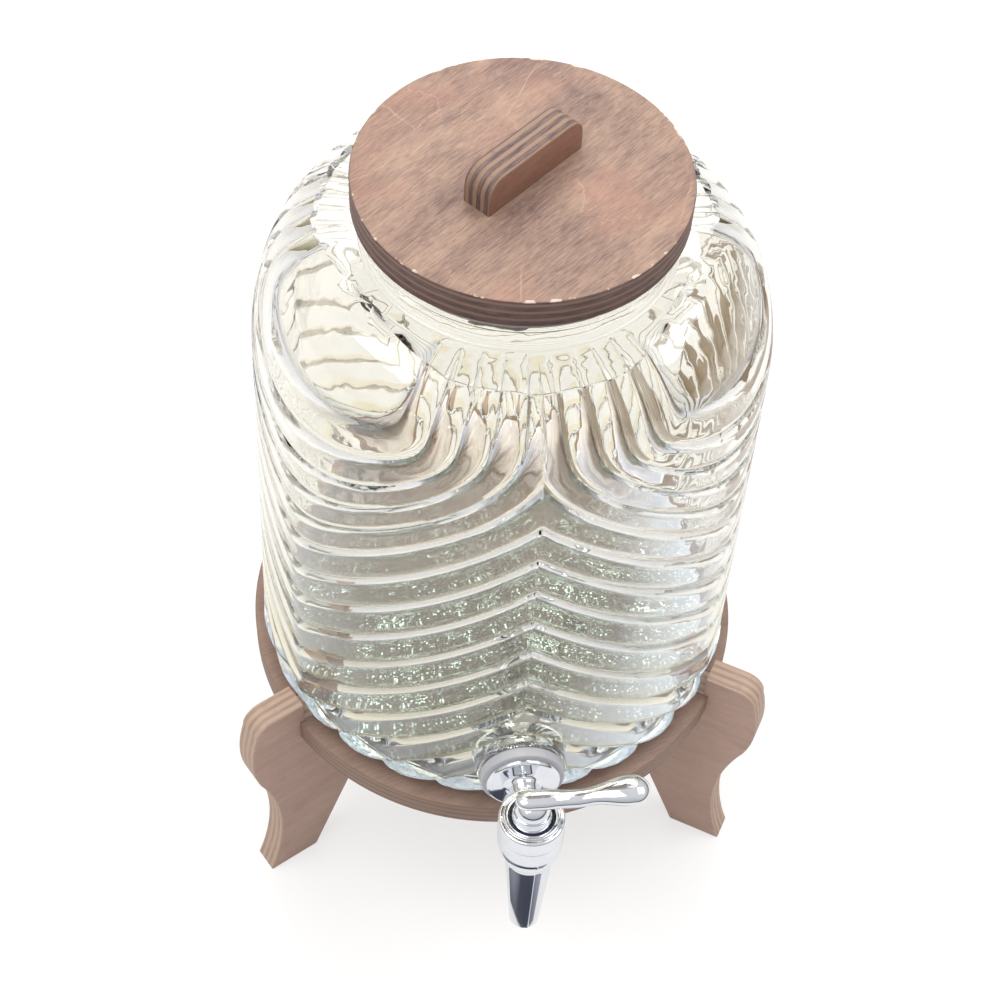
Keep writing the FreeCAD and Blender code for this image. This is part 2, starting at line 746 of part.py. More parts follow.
def make_tap_bonnet():
    body = new_body("tap_bonnet")
    low = barrel_top + bonnet_gap
    under_lip = spigot_top + bonnet_gap
    high = under_lip + bonnet_lip
    bore = spigot_radius + thread_gap
    opening = skirt_radius + skirt_gap
    ring = [
        (bore, low), (bonnet_radius, low), (bonnet_radius, high - bonnet_chamfer),
        (bonnet_radius - bonnet_chamfer, high), (opening, high), (opening, under_lip), (bore, under_lip),
    ]
    turn(body, "XZ_Plane", "V_Axis", ring, {2: (bonnet_chamfer, 1)})
    body.Placement = tap_frame
    return keep(body, "tap_bonnet")


# Lever

ring_centre = barrel_bore - ring_section - ring_gap
ring_floor = ring_centre - ring_section - ring_gap
ring_half = ring_section + ring_gap
plug_top = counter_floor + bonnet_gap / 2
flange_top = plug_top + plug_flange_thick
skirt_low = flange_top + stem_gap


def make_valve_plug():
    body = new_body("valve_plug")
    stem_top = flange_top + stem_height
    plug = [
        (zero, -plug_bottom), (plug_radius, -plug_bottom), (plug_radius, -ring_lower - ring_half),
        (ring_floor, -ring_lower - ring_half), (ring_floor, ring_half - ring_lower),
        (plug_radius, ring_half - ring_lower), (plug_radius, ring_upper - ring_half),
        (ring_floor, ring_upper - ring_half), (ring_floor, ring_upper + ring_half),
        (plug_radius, ring_upper + ring_half), (plug_radius, plug_top), (plug_flange_radius, plug_top),
        (plug_flange_radius, flange_top), (zero, flange_top),
    ]
    turn(body, "XZ_Plane", "V_Axis", plug)
    stem = new_sketch(body, "XY_Plane")
    half_stem = stem_side / 2
    outline(stem, [(-half_stem, -half_stem), (half_stem, -half_stem), (half_stem, half_stem), (-half_stem, half_stem)])
    pad(body, stem, stem_top)
    outlet = [(zero, -plug_bottom - over_cut), (port_radius, -plug_bottom - over_cut), (port_radius, zero), (zero, zero)]
    turn(body, "XZ_Plane", "V_Axis", outlet, cut=True)
    # The port faces away from the lever, so a quarter turn brings it to the shank.
    mouth = -plug_radius - over_cut
    port = [(mouth, zero), (zero, zero), (zero, port_radius), (mouth, port_radius)]
    turn(body, "XZ_Plane", "H_Axis", port, cut=True)
    body.Placement = tap_frame
    return keep(body, "valve_plug")


def make_valve_ring(name, height):
    ring = doc.addObject("Part::Torus", name)
    bind(ring, Radius1=ring_centre, Radius2=ring_section)
    ring.Placement = tap_frame.multiply(FreeCAD.Placement(up(height), FreeCAD.Rotation()))
    return keep(ring, name)


def arm_section(reach, height, width, thick):
    # Upright oval across the arm. Its wide axis lies level.
    oval = doc.addObject("Part::Ellipse", "oval")
    bind(oval, MajorRadius=width / 2, MinorRadius=thick / 2)
    turned = FreeCAD.Rotation(Vector(0, 1, 0), Vector(0, 0, 1), Vector(1, 0, 0), "ZXY")
    oval.Placement = FreeCAD.Placement(Vector(float(reach), 0, float(height)), turned)
    return oval


def make_tap_lever():
    bell_low = skirt_low + skirt_height
    hub_low = bell_low + bell_height
    hub_top = hub_low + hub_height
    arm_height = hub_low + hub_height / 2
    hub = new_body("lever_hub")
    profile = [
        (zero, skirt_low), (skirt_radius, skirt_low), (skirt_radius, bell_low), (hub_radius, hub_low),
        (hub_radius, hub_top), (hub_radius - hub_round, hub_top + hub_round), (zero, hub_top + hub_round),
    ]
    turn(hub, "XZ_Plane", "V_Axis", profile, {4: (hub_round, 1)})
    paddle_centre = lever_length - paddle_length / 2
    paddle_height = arm_height + paddle_rise
    middle = (hub_radius + paddle_centre) / 2
    arm = doc.addObject("Part::Loft", "arm")
    arm.Sections = [
        arm_section(zero, arm_height, arm_width + hub_round * 2, arm_thick),
        arm_section(hub_radius, arm_height, arm_width + hub_round, arm_thick),
        arm_section(middle, arm_height + paddle_rise / 4, arm_width, arm_thick),
        arm_section(paddle_centre, paddle_height, arm_width + hub_round, arm_thick),
    ]
    arm.Solid = True
    paddle = doc.addObject("Part::Ellipsoid", "paddle")
    bind(paddle, Radius1=paddle_thick / 2, Radius2=paddle_length / 2, Radius3=paddle_width / 2)
    paddle.Placement.Base = Vector(float(paddle_centre), 0, float(paddle_height))
    socket = doc.addObject("Part::Box", "socket")
    side_length = stem_side + stem_gap * 2
    bind(socket, Length=side_length, Width=side_length, Height=stem_height + stem_gap + over_cut)
    corner = -float(side_length) / 2
    socket.Placement.Base = Vector(corner, corner, float(skirt_low) - over_cut)
    lever = cut(fuse([hub, arm, paddle]), socket)
    lever.Placement = tap_frame
    return keep(lever, "tap_lever")


# Lid

lid_frame = FreeCAD.Placement(up(lid_height), FreeCAD.Rotation(Vector(0, 0, 1), float(lid_turn)))
half_spacing = screw_spacing / 2
screw_length = ply * 2 + screw_bite


def screw(grow, head_grow):
    # Countersunk wood screw that points up, with its head at the height zero.
    shank_length = screw_length - screw_tip
    radius = screw_radius + grow
    head = cone(screw_head + head_grow, radius, screw_head_depth)
    shank = cylinder(radius, shank_length)
    tip = cone(radius, screw_fit, screw_tip, up(shank_length))
    return fuse([head, shank, tip])


def screw_pair(grow):
    pair = []
    for sign in (-1, 1):
        item = screw(grow, grow)
        item.Placement.Base = Vector(sign * float(half_spacing), 0, -2 * float(ply))
        pair.append(item)
    return group(pair)


def make_lid_disc():
    body = new_body("lid_disc")
    sketch = new_sketch(body, "XY_Plane")
    circle_at(sketch, lid_radius)
    pad(body, sketch, ply)
    holes = new_sketch(body, "XY_Plane")
    for place in (half_spacing, -half_spacing):
        circle_at(holes, screw_radius + screw_fit, (place, zero))
    drill(body, holes)
    body.Placement = lid_frame
    return keep(body, "lid_disc")


def make_lid_inner_disc():
    # The disc hangs below the lid and has a groove for the seal half way up its rim.
    body = new_body("inner_disc_blank")
    groove_low = half_ply - seal_height / 2
    groove_high = half_ply + seal_height / 2
    groove_floor = inner_disc_radius - seal_depth
    points = [
        (zero, zero), (inner_disc_radius, zero), (inner_disc_radius, groove_low), (groove_floor, groove_low),
        (groove_floor, groove_high), (inner_disc_radius, groove_high), (inner_disc_radius, ply), (zero, ply),
    ]
    turn(body, "XZ_Plane", "V_Axis", points)
    body.Placement.Base = up(-ply)
    clear = screw_pair(screw_fit)
    clear.Placement.Base = up(ply)
    disc = cut(body, clear)
    disc.Placement = lid_frame
    return keep(disc, "lid_inner_disc")


def make_lid_seal():
    thick = seal_height - seal_fit * 2
    inner = inner_disc_radius - seal_depth + seal_fit
    ring = cut(cylinder(mouth_radius - seal_gap, thick), cylinder(inner, thick))
    ring.Placement.Base = up(lid_height - half_ply - thick / 2)
    return keep(ring, "lid_seal")


def make_lid_handle():
    body = new_body("lid_handle")
    sketch = new_sketch(body, "XZ_Plane")
    half = handle_length / 2
    shoulder = handle_height - handle_corner
    points = [
        (-half, zero), (half, zero), (half, shoulder), (half - handle_corner, handle_height),
        (handle_corner - half, handle_height), (-half, shoulder),
    ]
    outline(sketch, points, {2: (handle_corner, 1), 4: (handle_corner, 1)})
    pad(body, sketch, ply, both_sides=True)
    holes = new_sketch(body, "XY_Plane")
    for place in (half_spacing, -half_spacing):
        circle_at(holes, screw_radius + screw_fit, (place, zero))
    pilot = feature(body, "Pocket", holes, Length=screw_bite + screw_fit)
    pilot.Reversed = True
    doc.recompute()
    body.Placement = lid_frame.multiply(FreeCAD.Placement(up(ply), FreeCAD.Rotation()))
    return keep(body, "lid_handle")


def make_handle_screws():
    pair = screw_pair(zero)
    pair.Placement = lid_frame.multiply(FreeCAD.Placement(up(ply), FreeCAD.Rotation()))
    return keep(pair, "handle_screws")


make_stand_disc()
for leg_name, leg_turn in (("leg_rear", 90), ("leg_front_left", 210), ("leg_front_right", 330)):
    make_leg(leg_name, leg_turn)
make_glass_jar()
make_tap_body()
make_ring("tap_front_gasket", gasket_radius, shank_radius + thread_gap, gasket_thick, flange_back)
make_ring("tap_rear_gasket", rear_gasket_radius, shank_radius + thread_gap, rear_gasket_thick, glass_inside)
make_ring("tap_slip_washer", washer_radius, shank_radius + thread_gap, washer_thick, washer_start)
make_tap_lock_nut()
make_tap_bonnet()
make_valve_plug()
make_valve_ring("valve_ring_upper", ring_upper)
make_valve_ring("valve_ring_lower", -ring_lower)
make_tap_lever()
make_lid_disc()
make_lid_inner_disc()
make_lid_seal()
make_lid_handle()
make_handle_screws()
doc.recompute()

for item in doc.Objects:
    if "Invalid" in item.State or "Error" in item.State:
        raise ValueError(f"{item.Label} failed: {item.State}")
for node in nodes:
    if node.Shape.isNull() or not node.Shape.isValid():
        raise ValueError(f"{node.Label} has no valid shape")

os.makedirs("parts", exist_ok=True)
for node in nodes:
    node.Shape.exportStep(f"parts/{node.Label}.step")
    box = node.Shape.BoundBox
    print(f"{node.Label}: {len(node.Shape.Solids)} solid(s), {node.Shape.Volume / 1000:.1f} cm3, "
          f"z {box.ZMin:.1f} to {box.ZMax:.1f}")
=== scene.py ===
import bmesh
import bpy
import numpy as np
from mathutils import Matrix, Vector


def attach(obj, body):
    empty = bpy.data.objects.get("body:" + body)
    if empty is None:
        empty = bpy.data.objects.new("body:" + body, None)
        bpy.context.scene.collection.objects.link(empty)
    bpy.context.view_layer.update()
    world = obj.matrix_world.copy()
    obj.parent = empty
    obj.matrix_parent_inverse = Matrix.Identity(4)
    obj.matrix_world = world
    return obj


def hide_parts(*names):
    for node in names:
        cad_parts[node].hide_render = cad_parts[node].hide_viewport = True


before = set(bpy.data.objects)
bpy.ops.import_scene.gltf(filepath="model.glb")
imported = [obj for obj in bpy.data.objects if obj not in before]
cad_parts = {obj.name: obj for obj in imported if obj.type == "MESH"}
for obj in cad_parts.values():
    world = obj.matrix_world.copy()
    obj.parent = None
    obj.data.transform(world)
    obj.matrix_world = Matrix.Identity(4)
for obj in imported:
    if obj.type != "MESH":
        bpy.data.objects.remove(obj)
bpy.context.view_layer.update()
mm = 0.001   # the sizes of the pieces are in millimetres
print("frame loaded:", len(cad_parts), "nodes")


# mesh helpers

def gridFaces(rows, columns, wrap=False):
    # quads of a grid whose points run along the columns first; wrap joins the last column to the first
    i = np.arange(rows - 1)[:, None] * columns
    j = np.arange(columns if wrap else columns - 1)[None, :]
    k = (j + 1) % columns
    return np.stack([i + j, i + k, i + columns + k, i + columns + j], -1).reshape(-1, 4)


def cleanMesh(mesh, near=2e-6, empty=1e-6):
    # joins doubles, drops empty faces and turns the normals outwards; both distances are in metres
    work = bmesh.new()
    work.from_mesh(mesh)
    bmesh.ops.remove_doubles(work, verts=work.verts, dist=near)
    bmesh.ops.dissolve_degenerate(work, edges=work.edges, dist=empty)
    bmesh.ops.recalc_face_normals(work, faces=work.faces)
    work.to_mesh(mesh)
    work.free()


def newObject(name, data):
    made = bpy.data.objects.new(name, data)
    bpy.context.scene.collection.objects.link(made)
    return made


def newPiece(name, points, faces, label=None, values=None):
    # points in millimetres; a label adds an attribute with one vector for each point
    mesh = bpy.data.meshes.new(name)
    mesh.from_pydata((np.asarray(points) * mm).tolist(), [], [list(face) for face in faces])
    if label:
        mesh.attributes.new(label, "FLOAT_VECTOR", "POINT").data.foreach_set("vector", np.ravel(values))
    cleanMesh(mesh)
    return newObject(name, mesh)


def combine(piece, tool, operation):
    # boolean of two closed meshes; the tool is used up
    step = piece.modifiers.new("combine", "BOOLEAN")
    step.operation = operation
    step.object = tool
    step.solver = "EXACT"
    bpy.context.view_layer.update()
    made = bpy.data.meshes.new_from_object(piece.evaluated_get(bpy.context.evaluated_depsgraph_get()))
    piece.modifiers.clear()
    cleanMesh(made)
    piece.data = made
    bpy.data.objects.remove(tool)


def finishPiece(piece, body, material, node, sharp=35.0):
    # smooth shading with sharp edges, one material, and the place of the piece in the frame
    mesh = piece.data
    mesh.materials.clear()
    mesh.materials.append(material)
    mesh.polygons.foreach_set("material_index", np.zeros(len(mesh.polygons), dtype=np.int32))
    mesh.polygons.foreach_set("use_smooth", np.ones(len(mesh.polygons), dtype=bool))
    mesh.set_sharp_from_angle(angle=np.radians(sharp))
    mesh.update()
    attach(piece, body)
    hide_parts(node)


def roundCorners(points, steps=6):
    # each row is x, y, radius; a corner with a radius becomes an arc that touches both its sides
    rows = np.array([(*row, 0.0)[:3] for row in points], float)
    out = [rows[:1, :2]]
    for before, corner, after in zip(rows[:-2], rows[1:-1], rows[2:]):
        if corner[2] == 0:
            out.append(corner[None, :2])
            continue
        a = (before - corner)[:2]
        b = (after - corner)[:2]
        a, b = a / np.hypot(*a), b / np.hypot(*b)
        half = np.arccos(np.clip(a @ b, -1, 1)) / 2
        centre = corner[:2] + (a + b) / np.hypot(*(a + b)) * corner[2] / np.sin(half)
        start = corner[:2] + a * corner[2] / np.tan(half) - centre
        finish = corner[:2] + b * corner[2] / np.tan(half) - centre
        t = np.linspace(0, 1, steps + 1)[:, None]
        swing = np.pi - 2 * half
        out.append(centre + (np.sin((1 - t) * swing) * start + np.sin(t * swing) * finish) / np.sin(swing))
    out.append(rows[-1:, :2])
    return np.concatenate(out)


def ringSurface(profile, angles, rise=0.0):
    # profile of radius and height carried round the Z axis: x = r cos a, y = r sin a;
    # a rise adds to the radius
    profile = np.asarray(profile, float)
    radius = profile[:, :1] + rise
    level = np.repeat(profile[:, 1:], len(angles), 1)
    points = np.stack([radius * np.cos(angles), radius * np.sin(angles), level], -1)
    return points.reshape(-1, 3), gridFaces(len(profile), len(angles), wrap=True)


def lathe(profile, count=96, closed=False):
    # even steps all the way round; a closed profile ends where it starts
    if closed:
        profile = np.concatenate([profile, profile[:1]])
    return ringSurface(profile, np.linspace(0, 2 * np.pi, count, endpoint=False))


def plate(outline, thick, edge, edgeSteps=4):
    # flat outline carried through its thickness; the rim is rounded over the edge radius on both faces
    outline = np.asarray(outline, float)
    ahead = np.roll(outline, -1, 0) - outline
    ahead /= np.hypot(ahead[:, 0], ahead[:, 1])[:, None]
    tangent = ahead + np.roll(ahead, 1, 0)
    tangent /= np.hypot(tangent[:, 0], tangent[:, 1])[:, None]
    inward = np.stack([-tangent[:, 1], tangent[:, 0]], -1)
    area = np.sum(outline[:, 0] * np.roll(outline[:, 1], -1) - outline[:, 1] * np.roll(outline[:, 0], -1))
    inward *= np.sign(area)
    a = np.linspace(0, np.pi / 2, edgeSteps)
    inset = np.concatenate([1 - np.sin(a), 1 - np.sin(a[::-1])]) * edge
    level = np.concatenate([(1 - np.cos(a)) * edge, thick - (1 - np.cos(a[::-1])) * edge])
    flat = outline[None] + inward[None] * inset[:, None, None]
    points = np.concatenate([flat, np.broadcast_to(level[:, None, None], flat.shape[:2] + (1,))], -1)
    count = len(outline)
    faces = gridFaces(len(level), count, wrap=True).tolist()
    faces += [list(range(count)), list(range((len(level) - 1) * count, len(level) * count))]
    return points.reshape(-1, 3), faces


def standing(flat, thick):
    # a plate set up on its edge, its thickness centred on Y
    return np.stack([flat[:, 0], thick / 2 - flat[:, 2], flat[:, 1]], -1)


def arcBetween(start, finish, radius, turn, steps=16):
    # arc of a circle from start to finish that turns left (1) or right (-1)
    start, finish = np.array(start, float), np.array(finish, float)
    chord = finish - start
    side = np.array([-chord[1], chord[0]]) / np.hypot(*chord) * turn
    centre = (start + finish) / 2 + side * np.sqrt(radius ** 2 - chord @ chord / 4)
    first = np.arctan2(*(start - centre)[::-1])
    sweep = 2 * np.arcsin(np.hypot(*chord) / 2 / radius) * turn
    a = first + np.linspace(0, 1, steps + 1) * sweep
    return centre + radius * np.stack([np.cos(a), np.sin(a)], -1)


def turned(points, degrees):
    # points turned about the Z axis
    a = np.radians(degrees)
    x, y, z = np.asarray(points).T
    return np.stack([x * np.cos(a) - y * np.sin(a), x * np.sin(a) + y * np.cos(a), z], -1)


def ease(x, low, high):
    # 0 up to low, 1 from high on, and a smooth step in between
    t = np.clip((x - low) / (high - low), 0, 1)
    return t * t * (3 - 2 * t)


# material helpers

def tone(red, green, blue):
    # colour written as it looks on screen, 0 to 255
    c = np.array([red, green, blue], float) / 255
    linear = np.where(c <= 0.04045, c / 12.92, ((c + 0.055) / 1.055) ** 2.4)
    return (*linear.tolist(), 1.0)


def grey(value):
    return (value, value, value, 1.0)


def newMaterial(name):
    # a material, its node tree and its main shader
    material = bpy.data.materials.new(name)
    material.use_nodes = True
    return material, material.node_tree, material.node_tree.nodes["Principled BSDF"]


def newGroup(name, inputs, outputs):
    # sockets are label, kind and default; gives the group, what comes in, and the node that puts out
    group = bpy.data.node_groups.new(name, "ShaderNodeTree")
    for direction, sockets in (("INPUT", inputs), ("OUTPUT", outputs)):
        for label, kind, *value in sockets:
            socket = group.interface.new_socket(label, in_out=direction, socket_type="NodeSocket" + kind)
            if value:
                socket.default_value = value[0]
    return group, group.nodes.new("NodeGroupInput").outputs, group.nodes.new("NodeGroupOutput")


def fill(tree, node, inputs):
    # inputs go by the socket's name or number; a socket is linked, and a plain value is written
    for label, value in inputs.items():
        if isinstance(value, bpy.types.NodeSocket):
            tree.links.new(value, node.inputs[label])
        else:
            node.inputs[label].default_value = value
    return node


def newNode(tree, kind, inputs=None, **settings):
    # settings come first, because some of them change the sockets
    node = tree.nodes.new("ShaderNode" + kind)
    for label, value in settings.items():
        setattr(node, label, value)
    return fill(tree, node, inputs or {})


def mathNode(tree, operation, *values):
    return newNode(tree, "Math", dict(enumerate(values)), operation=operation).outputs[0]


def times(tree, first, second):
    return mathNode(tree, "MULTIPLY", first, second)


def mixColour(tree, share, first, second, blend="MIX"):
    # sockets 6 and 7 are the node's two colours, and its third output is their mix
    sockets = {"Factor": share, 6: first, 7: second}
    return newNode(tree, "Mix", sockets, data_type="RGBA", blend_type=blend).outputs[2]


def noiseNode(tree, vector, scale, detail, rough=0.55, distortion=0.0):
    sockets = {"Vector": vector, "Scale": scale, "Detail": detail, "Roughness": rough,
               "Distortion": distortion}
    return newNode(tree, "TexNoise", sockets).outputs["Fac"]


def mapped(tree, vector, location=(0, 0, 0), rotation=(0, 0, 0), scale=(1, 1, 1)):
    sockets = {"Vector": vector, "Location": location, "Rotation": rotation, "Scale": scale}
    return newNode(tree, "Mapping", sockets).outputs["Vector"]


def objectCoords(tree):
    return newNode(tree, "TexCoord").outputs["Object"]


def separate(tree, vector):
    return newNode(tree, "SeparateXYZ", {0: vector}).outputs


def radiusNode(tree, vector):
    # distance from the Z axis
    flat = mapped(tree, vector, scale=(1, 1, 0))
    return newNode(tree, "VectorMath", {0: flat}, operation="LENGTH").outputs["Value"]


def rangeNode(tree, value, low, high, first=0.0, last=1.0):
    # goes from first to last while the value goes from low to high
    sockets = {"Value": value, "From Min": low, "From Max": high, "To Min": first, "To Max": last}
    return newNode(tree, "MapRange", sockets).outputs["Result"]


def rampNode(tree, value, stops):
    node = newNode(tree, "ValToRGB", {"Fac": value})
    elements = node.color_ramp.elements
    while len(elements) < len(stops):
        elements.new(0.5)
    for element, (place, colour) in zip(elements, stops):
        element.position = place
        element.color = colour
    return node.outputs["Color"]


def fadeNode(tree, value, low, high, first=0.0, last=1.0):
    # ramp from one grey to another
    return rampNode(tree, value, [(low, grey(first)), (high, grey(last))])


def bumpNode(tree, height, strength, distance, **normal):
    sockets = {"Height": height, "Strength": strength, "Distance": distance, **normal}
    return newNode(tree, "Bump", sockets).outputs["Normal"]


# plywood: offset, scale along, across and through the grain, detail, roughness and distortion of each noise
plyNoise = {
    "streak": ((0, 0, 0), (140, 1150, 2), 4.0, 0.68, 0.2),
    "bands": ((0, 0, 0), (14, 190, 2), 3.0, 0.55, 0.6),
    "blotch": ((0, 0, 0), (30, 52, 1), 5.0, 0.62, 0.5),
    "patch": ((3.1, 1.7, 0), (22, 34, 1), 3.0, 0.55, 0.4),
    "pores": ((0, 0, 0), (210, 2700, 3), 2.0, 0.5), "flecks": ((7.3, 2.9, 0), (170, 1500, 3), 2.0, 0.5),
    "worn": ((0, 0, 0), (130, 130, 11), 3.0, 0.6), "chips": ((1.3, 4.1, 0), (95, 95, 1), 4.0, 0.65),
}
# where each mask starts and ends, and its strength at both
plyMasks = {
    "light": (0.20, 0.80), "warm": (0.52, 0.70, 0.0, 0.5), "pores": (0.30, 0.41, 0.5, 0.0),
    "flecks": (0.60, 0.72, 0.0, 0.6), "scratch": (0.002, 0.010, 1.0, 0.0), "broken": (0.50, 0.60),
    "cross": (0.38, 0.60), "worn": (0.35, 0.62, 0.45, 1.0), "atTop": (0.90, 0.97),
    "chips": (0.55, 0.59, 0.0, 0.85), "facing": (0.5, 0.85), "rim": (0.955, 0.985),
}
plyLook = {
    "plies": 6.99, "bands": 0.4, "wobble": 0.35, "poreEdge": 0.6, "poreDepth": 0.8,
    "gloss": (0.25, 0.48), "cellScale": (26, 34, 0), "cellBend": 1.1,
    "scratchTone": tone(206, 176, 154), "chipTone": tone(232, 212, 192), "bump": (0.25, 0.0004),
    # painted shadow of the jar on the disc: how far out it reaches in seat radii, and the tones it multiplies
    # the wood by, darker under the jar and darkest in a ring at its foot
    "shadowReach": 1.25,
    "jarShadow": [(0.71, tone(214, 191, 153)), (0.79, tone(164, 141, 122)), (0.87, tone(200, 182, 168)),
              (0.95, grey(1.0))],
}


def makePlyGroup():
    # X runs along the grain of the face, Z through the plies from 0 to 1; Face is 1 on the broad sides
    group, given, out = newGroup(
        "plyGrain",
        [("Point", "Vector"), ("Face", "Float", 1.0), ("Rim", "Float", 0.0), ("Light", "Color"),
         ("Dark", "Color"), ("Warm", "Color"), ("Edge Light", "Color"), ("Edge Dark", "Color"),
         ("Blotch", "Float", 0.4), ("Streak", "Float", 0.6), ("Dark Plies", "Float", 0.0),
         ("Scratch", "Float", 0.0)],
        [("Color", "Color"), ("Roughness", "Float"), ("Height", "Float")])
    point = given["Point"]
    depth = separate(group, point)["Z"]
    noise = {}
    for name, (offset, scale, *rest) in plyNoise.items():
        noise[name] = noiseNode(group, mapped(group, point, offset, scale=scale), 1.0, *rest)

    def mask(name, value):
        return fadeNode(group, value, *plyMasks[name])

    def swing(name, strength):
        # noise about zero
        return times(group, mathNode(group, "SUBTRACT", noise[name], 0.5), strength)

    # broad side: short streaks, long bands, cloudy blotches, a few warm patches and dark pores
    share = mathNode(group, "ADD", swing("streak", given["Streak"]), 0.5)
    share = mathNode(group, "ADD", share, swing("bands", plyLook["bands"]))
    share = mathNode(group, "ADD", share, swing("blotch", given["Blotch"]))
    pores = mask("pores", noise["pores"])
    face = mixColour(group, mask("light", share), given["Dark"], given["Light"])
    face = mixColour(group, mask("warm", noise["patch"]), face, given["Warm"])
    face = mixColour(group, pores, face, given["Edge Dark"])
    face = mixColour(group, mask("flecks", noise["flecks"]), face, given["Light"])
    # fine scratches along the borders of large cells, broken up by the patches
    cellPoint = mapped(group, point, scale=plyLook["cellScale"])
    shift = times(group, noise["blotch"], plyLook["cellBend"])
    bent = newNode(group, "VectorMath", {0: cellPoint, 1: shift}, operation="ADD").outputs[0]
    cells = newNode(group, "TexVoronoi", {"Vector": bent, "Scale": 1.0}, feature="DISTANCE_TO_EDGE")
    line = times(group, mask("scratch", cells.outputs["Distance"]), mask("broken", noise["patch"]))
    face = mixColour(group, times(group, line, given["Scratch"]), face, plyLook["scratchTone"])
    # edge: seven plies, every second one end grain, with dark glue lines and streaks along the ply
    ply = mathNode(group, "ADD", times(group, depth, plyLook["plies"]), swing("bands", plyLook["wobble"]))
    cross = mathNode(group, "ADD", mathNode(group, "PINGPONG", ply, 1.0), given["Dark Plies"])
    cross = times(group, mask("cross", cross), mask("worn", noise["worn"]))
    edge = mixColour(group, cross, given["Edge Light"], given["Edge Dark"])
    edge = mixColour(group, times(group, pores, plyLook["poreEdge"]), edge, given["Edge Dark"])
    colour = mixColour(group, given["Face"], edge, face)
    # pale chips where the rim is worn
    chips = times(group, times(group, noise["chips"], given["Rim"]), mask("atTop", depth))
    colour = mixColour(group, mask("chips", chips), colour, plyLook["chipTone"])
    gloss = mathNode(group, "MULTIPLY_ADD", noise["streak"], *plyLook["gloss"])
    relief = mathNode(group, "SUBTRACT", noise["streak"], times(group, pores, plyLook["poreDepth"]))
    fill(group, out, {"Color": colour, "Roughness": gloss, "Height": relief})
    return group


plyGroup = makePlyGroup()
plyLabels = ("Light", "Dark", "Warm", "Edge Light", "Edge Dark", "Blotch", "Streak", "Dark Plies", "Scratch")
plyTones = {
    "stand": (tone(207, 175, 160), tone(172, 140, 127), tone(200, 166, 149), tone(192, 165, 147),
              tone(164, 138, 121), 0.5, 0.6, -0.06, 0.0),
    "disc": (tone(166, 138, 122), tone(126, 101, 88), tone(158, 126, 108), tone(150, 123, 108),
             tone(128, 103, 90), 0.6, 0.8, -0.06, 0.0),
    "lid": (tone(180, 149, 128), tone(108, 84, 79), tone(166, 122, 106), tone(134, 106, 93),
            tone(84, 61, 61), 1.0, 1.0, 0.14, 0.4),
    "grip": (tone(170, 128, 106), tone(128, 91, 77), tone(160, 114, 95), tone(150, 121, 100),
             tone(84, 66, 70), 0.5, 0.9, 0.04, 0.0),
}


def plyMaterial(name, tones, turn, upright, lift, thick, rim=None, shadowRadius=None):
    # turns the piece's grain to X, lays an upright board flat, and counts Z in thicknesses from its lower
    # face; a round board is worn near its rim's radius, and has the jar's shadow painted on it round the
    # jar's seat
    material, tree, shader = newMaterial(name)
    coords = newNode(tree, "TexCoord").outputs
    a = np.radians(turn)
    straight = mapped(tree, coords["Object"], rotation=(0, 0, -a))
    flat = mapped(tree, straight, (0, 0, lift * mm), (np.pi / 2 if upright else 0, 0, 0))
    counted = mapped(tree, flat, scale=(1, 1, 1 / (thick * mm)))
    broad = (-np.sin(a), np.cos(a), 0) if upright else (0, 0, 1)
    across = newNode(tree, "VectorMath", {0: coords["Normal"], 1: broad}, operation="DOT_PRODUCT")
    facing = fadeNode(tree, mathNode(tree, "ABSOLUTE", across.outputs["Value"]), *plyMasks["facing"])
    grain = newNode(tree, "Group", node_tree=plyGroup)
    fill(tree, grain, {"Point": counted, "Face": facing, **dict(zip(plyLabels, plyTones[tones]))})
    colour = grain.outputs["Color"]
    if rim:
        outward = mathNode(tree, "DIVIDE", radiusNode(tree, coords["Object"]), rim * mm)
        fill(tree, grain, {"Rim": fadeNode(tree, outward, *plyMasks["rim"])})
    # painted shadow: darker under the jar and darkest in a ring round its foot, fading out before the rim
    if shadowRadius:
        reach = plyLook["shadowReach"] * shadowRadius * mm
        outward = mathNode(tree, "DIVIDE", radiusNode(tree, coords["Object"]), reach)
        colour = mixColour(tree, 1.0, colour, rampNode(tree, outward, plyLook["jarShadow"]), "MULTIPLY")
    relief = bumpNode(tree, grain.outputs["Height"], *plyLook["bump"])
    fill(tree, shader, {"Base Color": colour, "Roughness": grain.outputs["Roughness"], "Normal": relief})
    return material


# heights and radii of the floor, the top of its painted rim glow and the heel, then the noises of the glass,
# its waves, its stipple and its painted glints
glassLook = {
    "floorLow": 123.7, "floorHigh": 124.6, "innerRadius": 94.4, "rimGlowTop": 134.0, "heelTop": 129.0,
    "heelRadius": 86.0, "drift": (14.0, 2.0), "wave": (46.0, 2.0, 0.5, 0.3), "waveBump": (0.18, 0.002),
    "stipple": (620.0, 3.0, 0.6, 0.4), "stippleBump": (1.0, 0.0005), "sparkleScale": 900.0,
    "cloud": (44.0, 3.0, 0.6), "cloudShare": 2.1, "bright": (0.58, 0.98),
    "core": (0.25, 0.60, 1.0, 0.0), "glow": 2.2, "ior": 1.5,
}
# where each change along the jar starts and ends, and its strength at both
glassRanges = {
    # ranges of the tint, the front, the waves, the painted glow on the floor's rim with its strength to the
    # right and at the back, and the painted glints
    "tint": (150.0, 330.0), "front": (45.0, -5.0), "rimGlow": (58.0, 94.4, 0.0, 0.19),
    "side": (-30.0, 60.0, 0.3, 2.2), "rear": (60.0, 80.0, 0.0, 0.22), "sparkle": (-82.0, -60.0),
    "waves": (230.0, 300.0, 0.25),
}
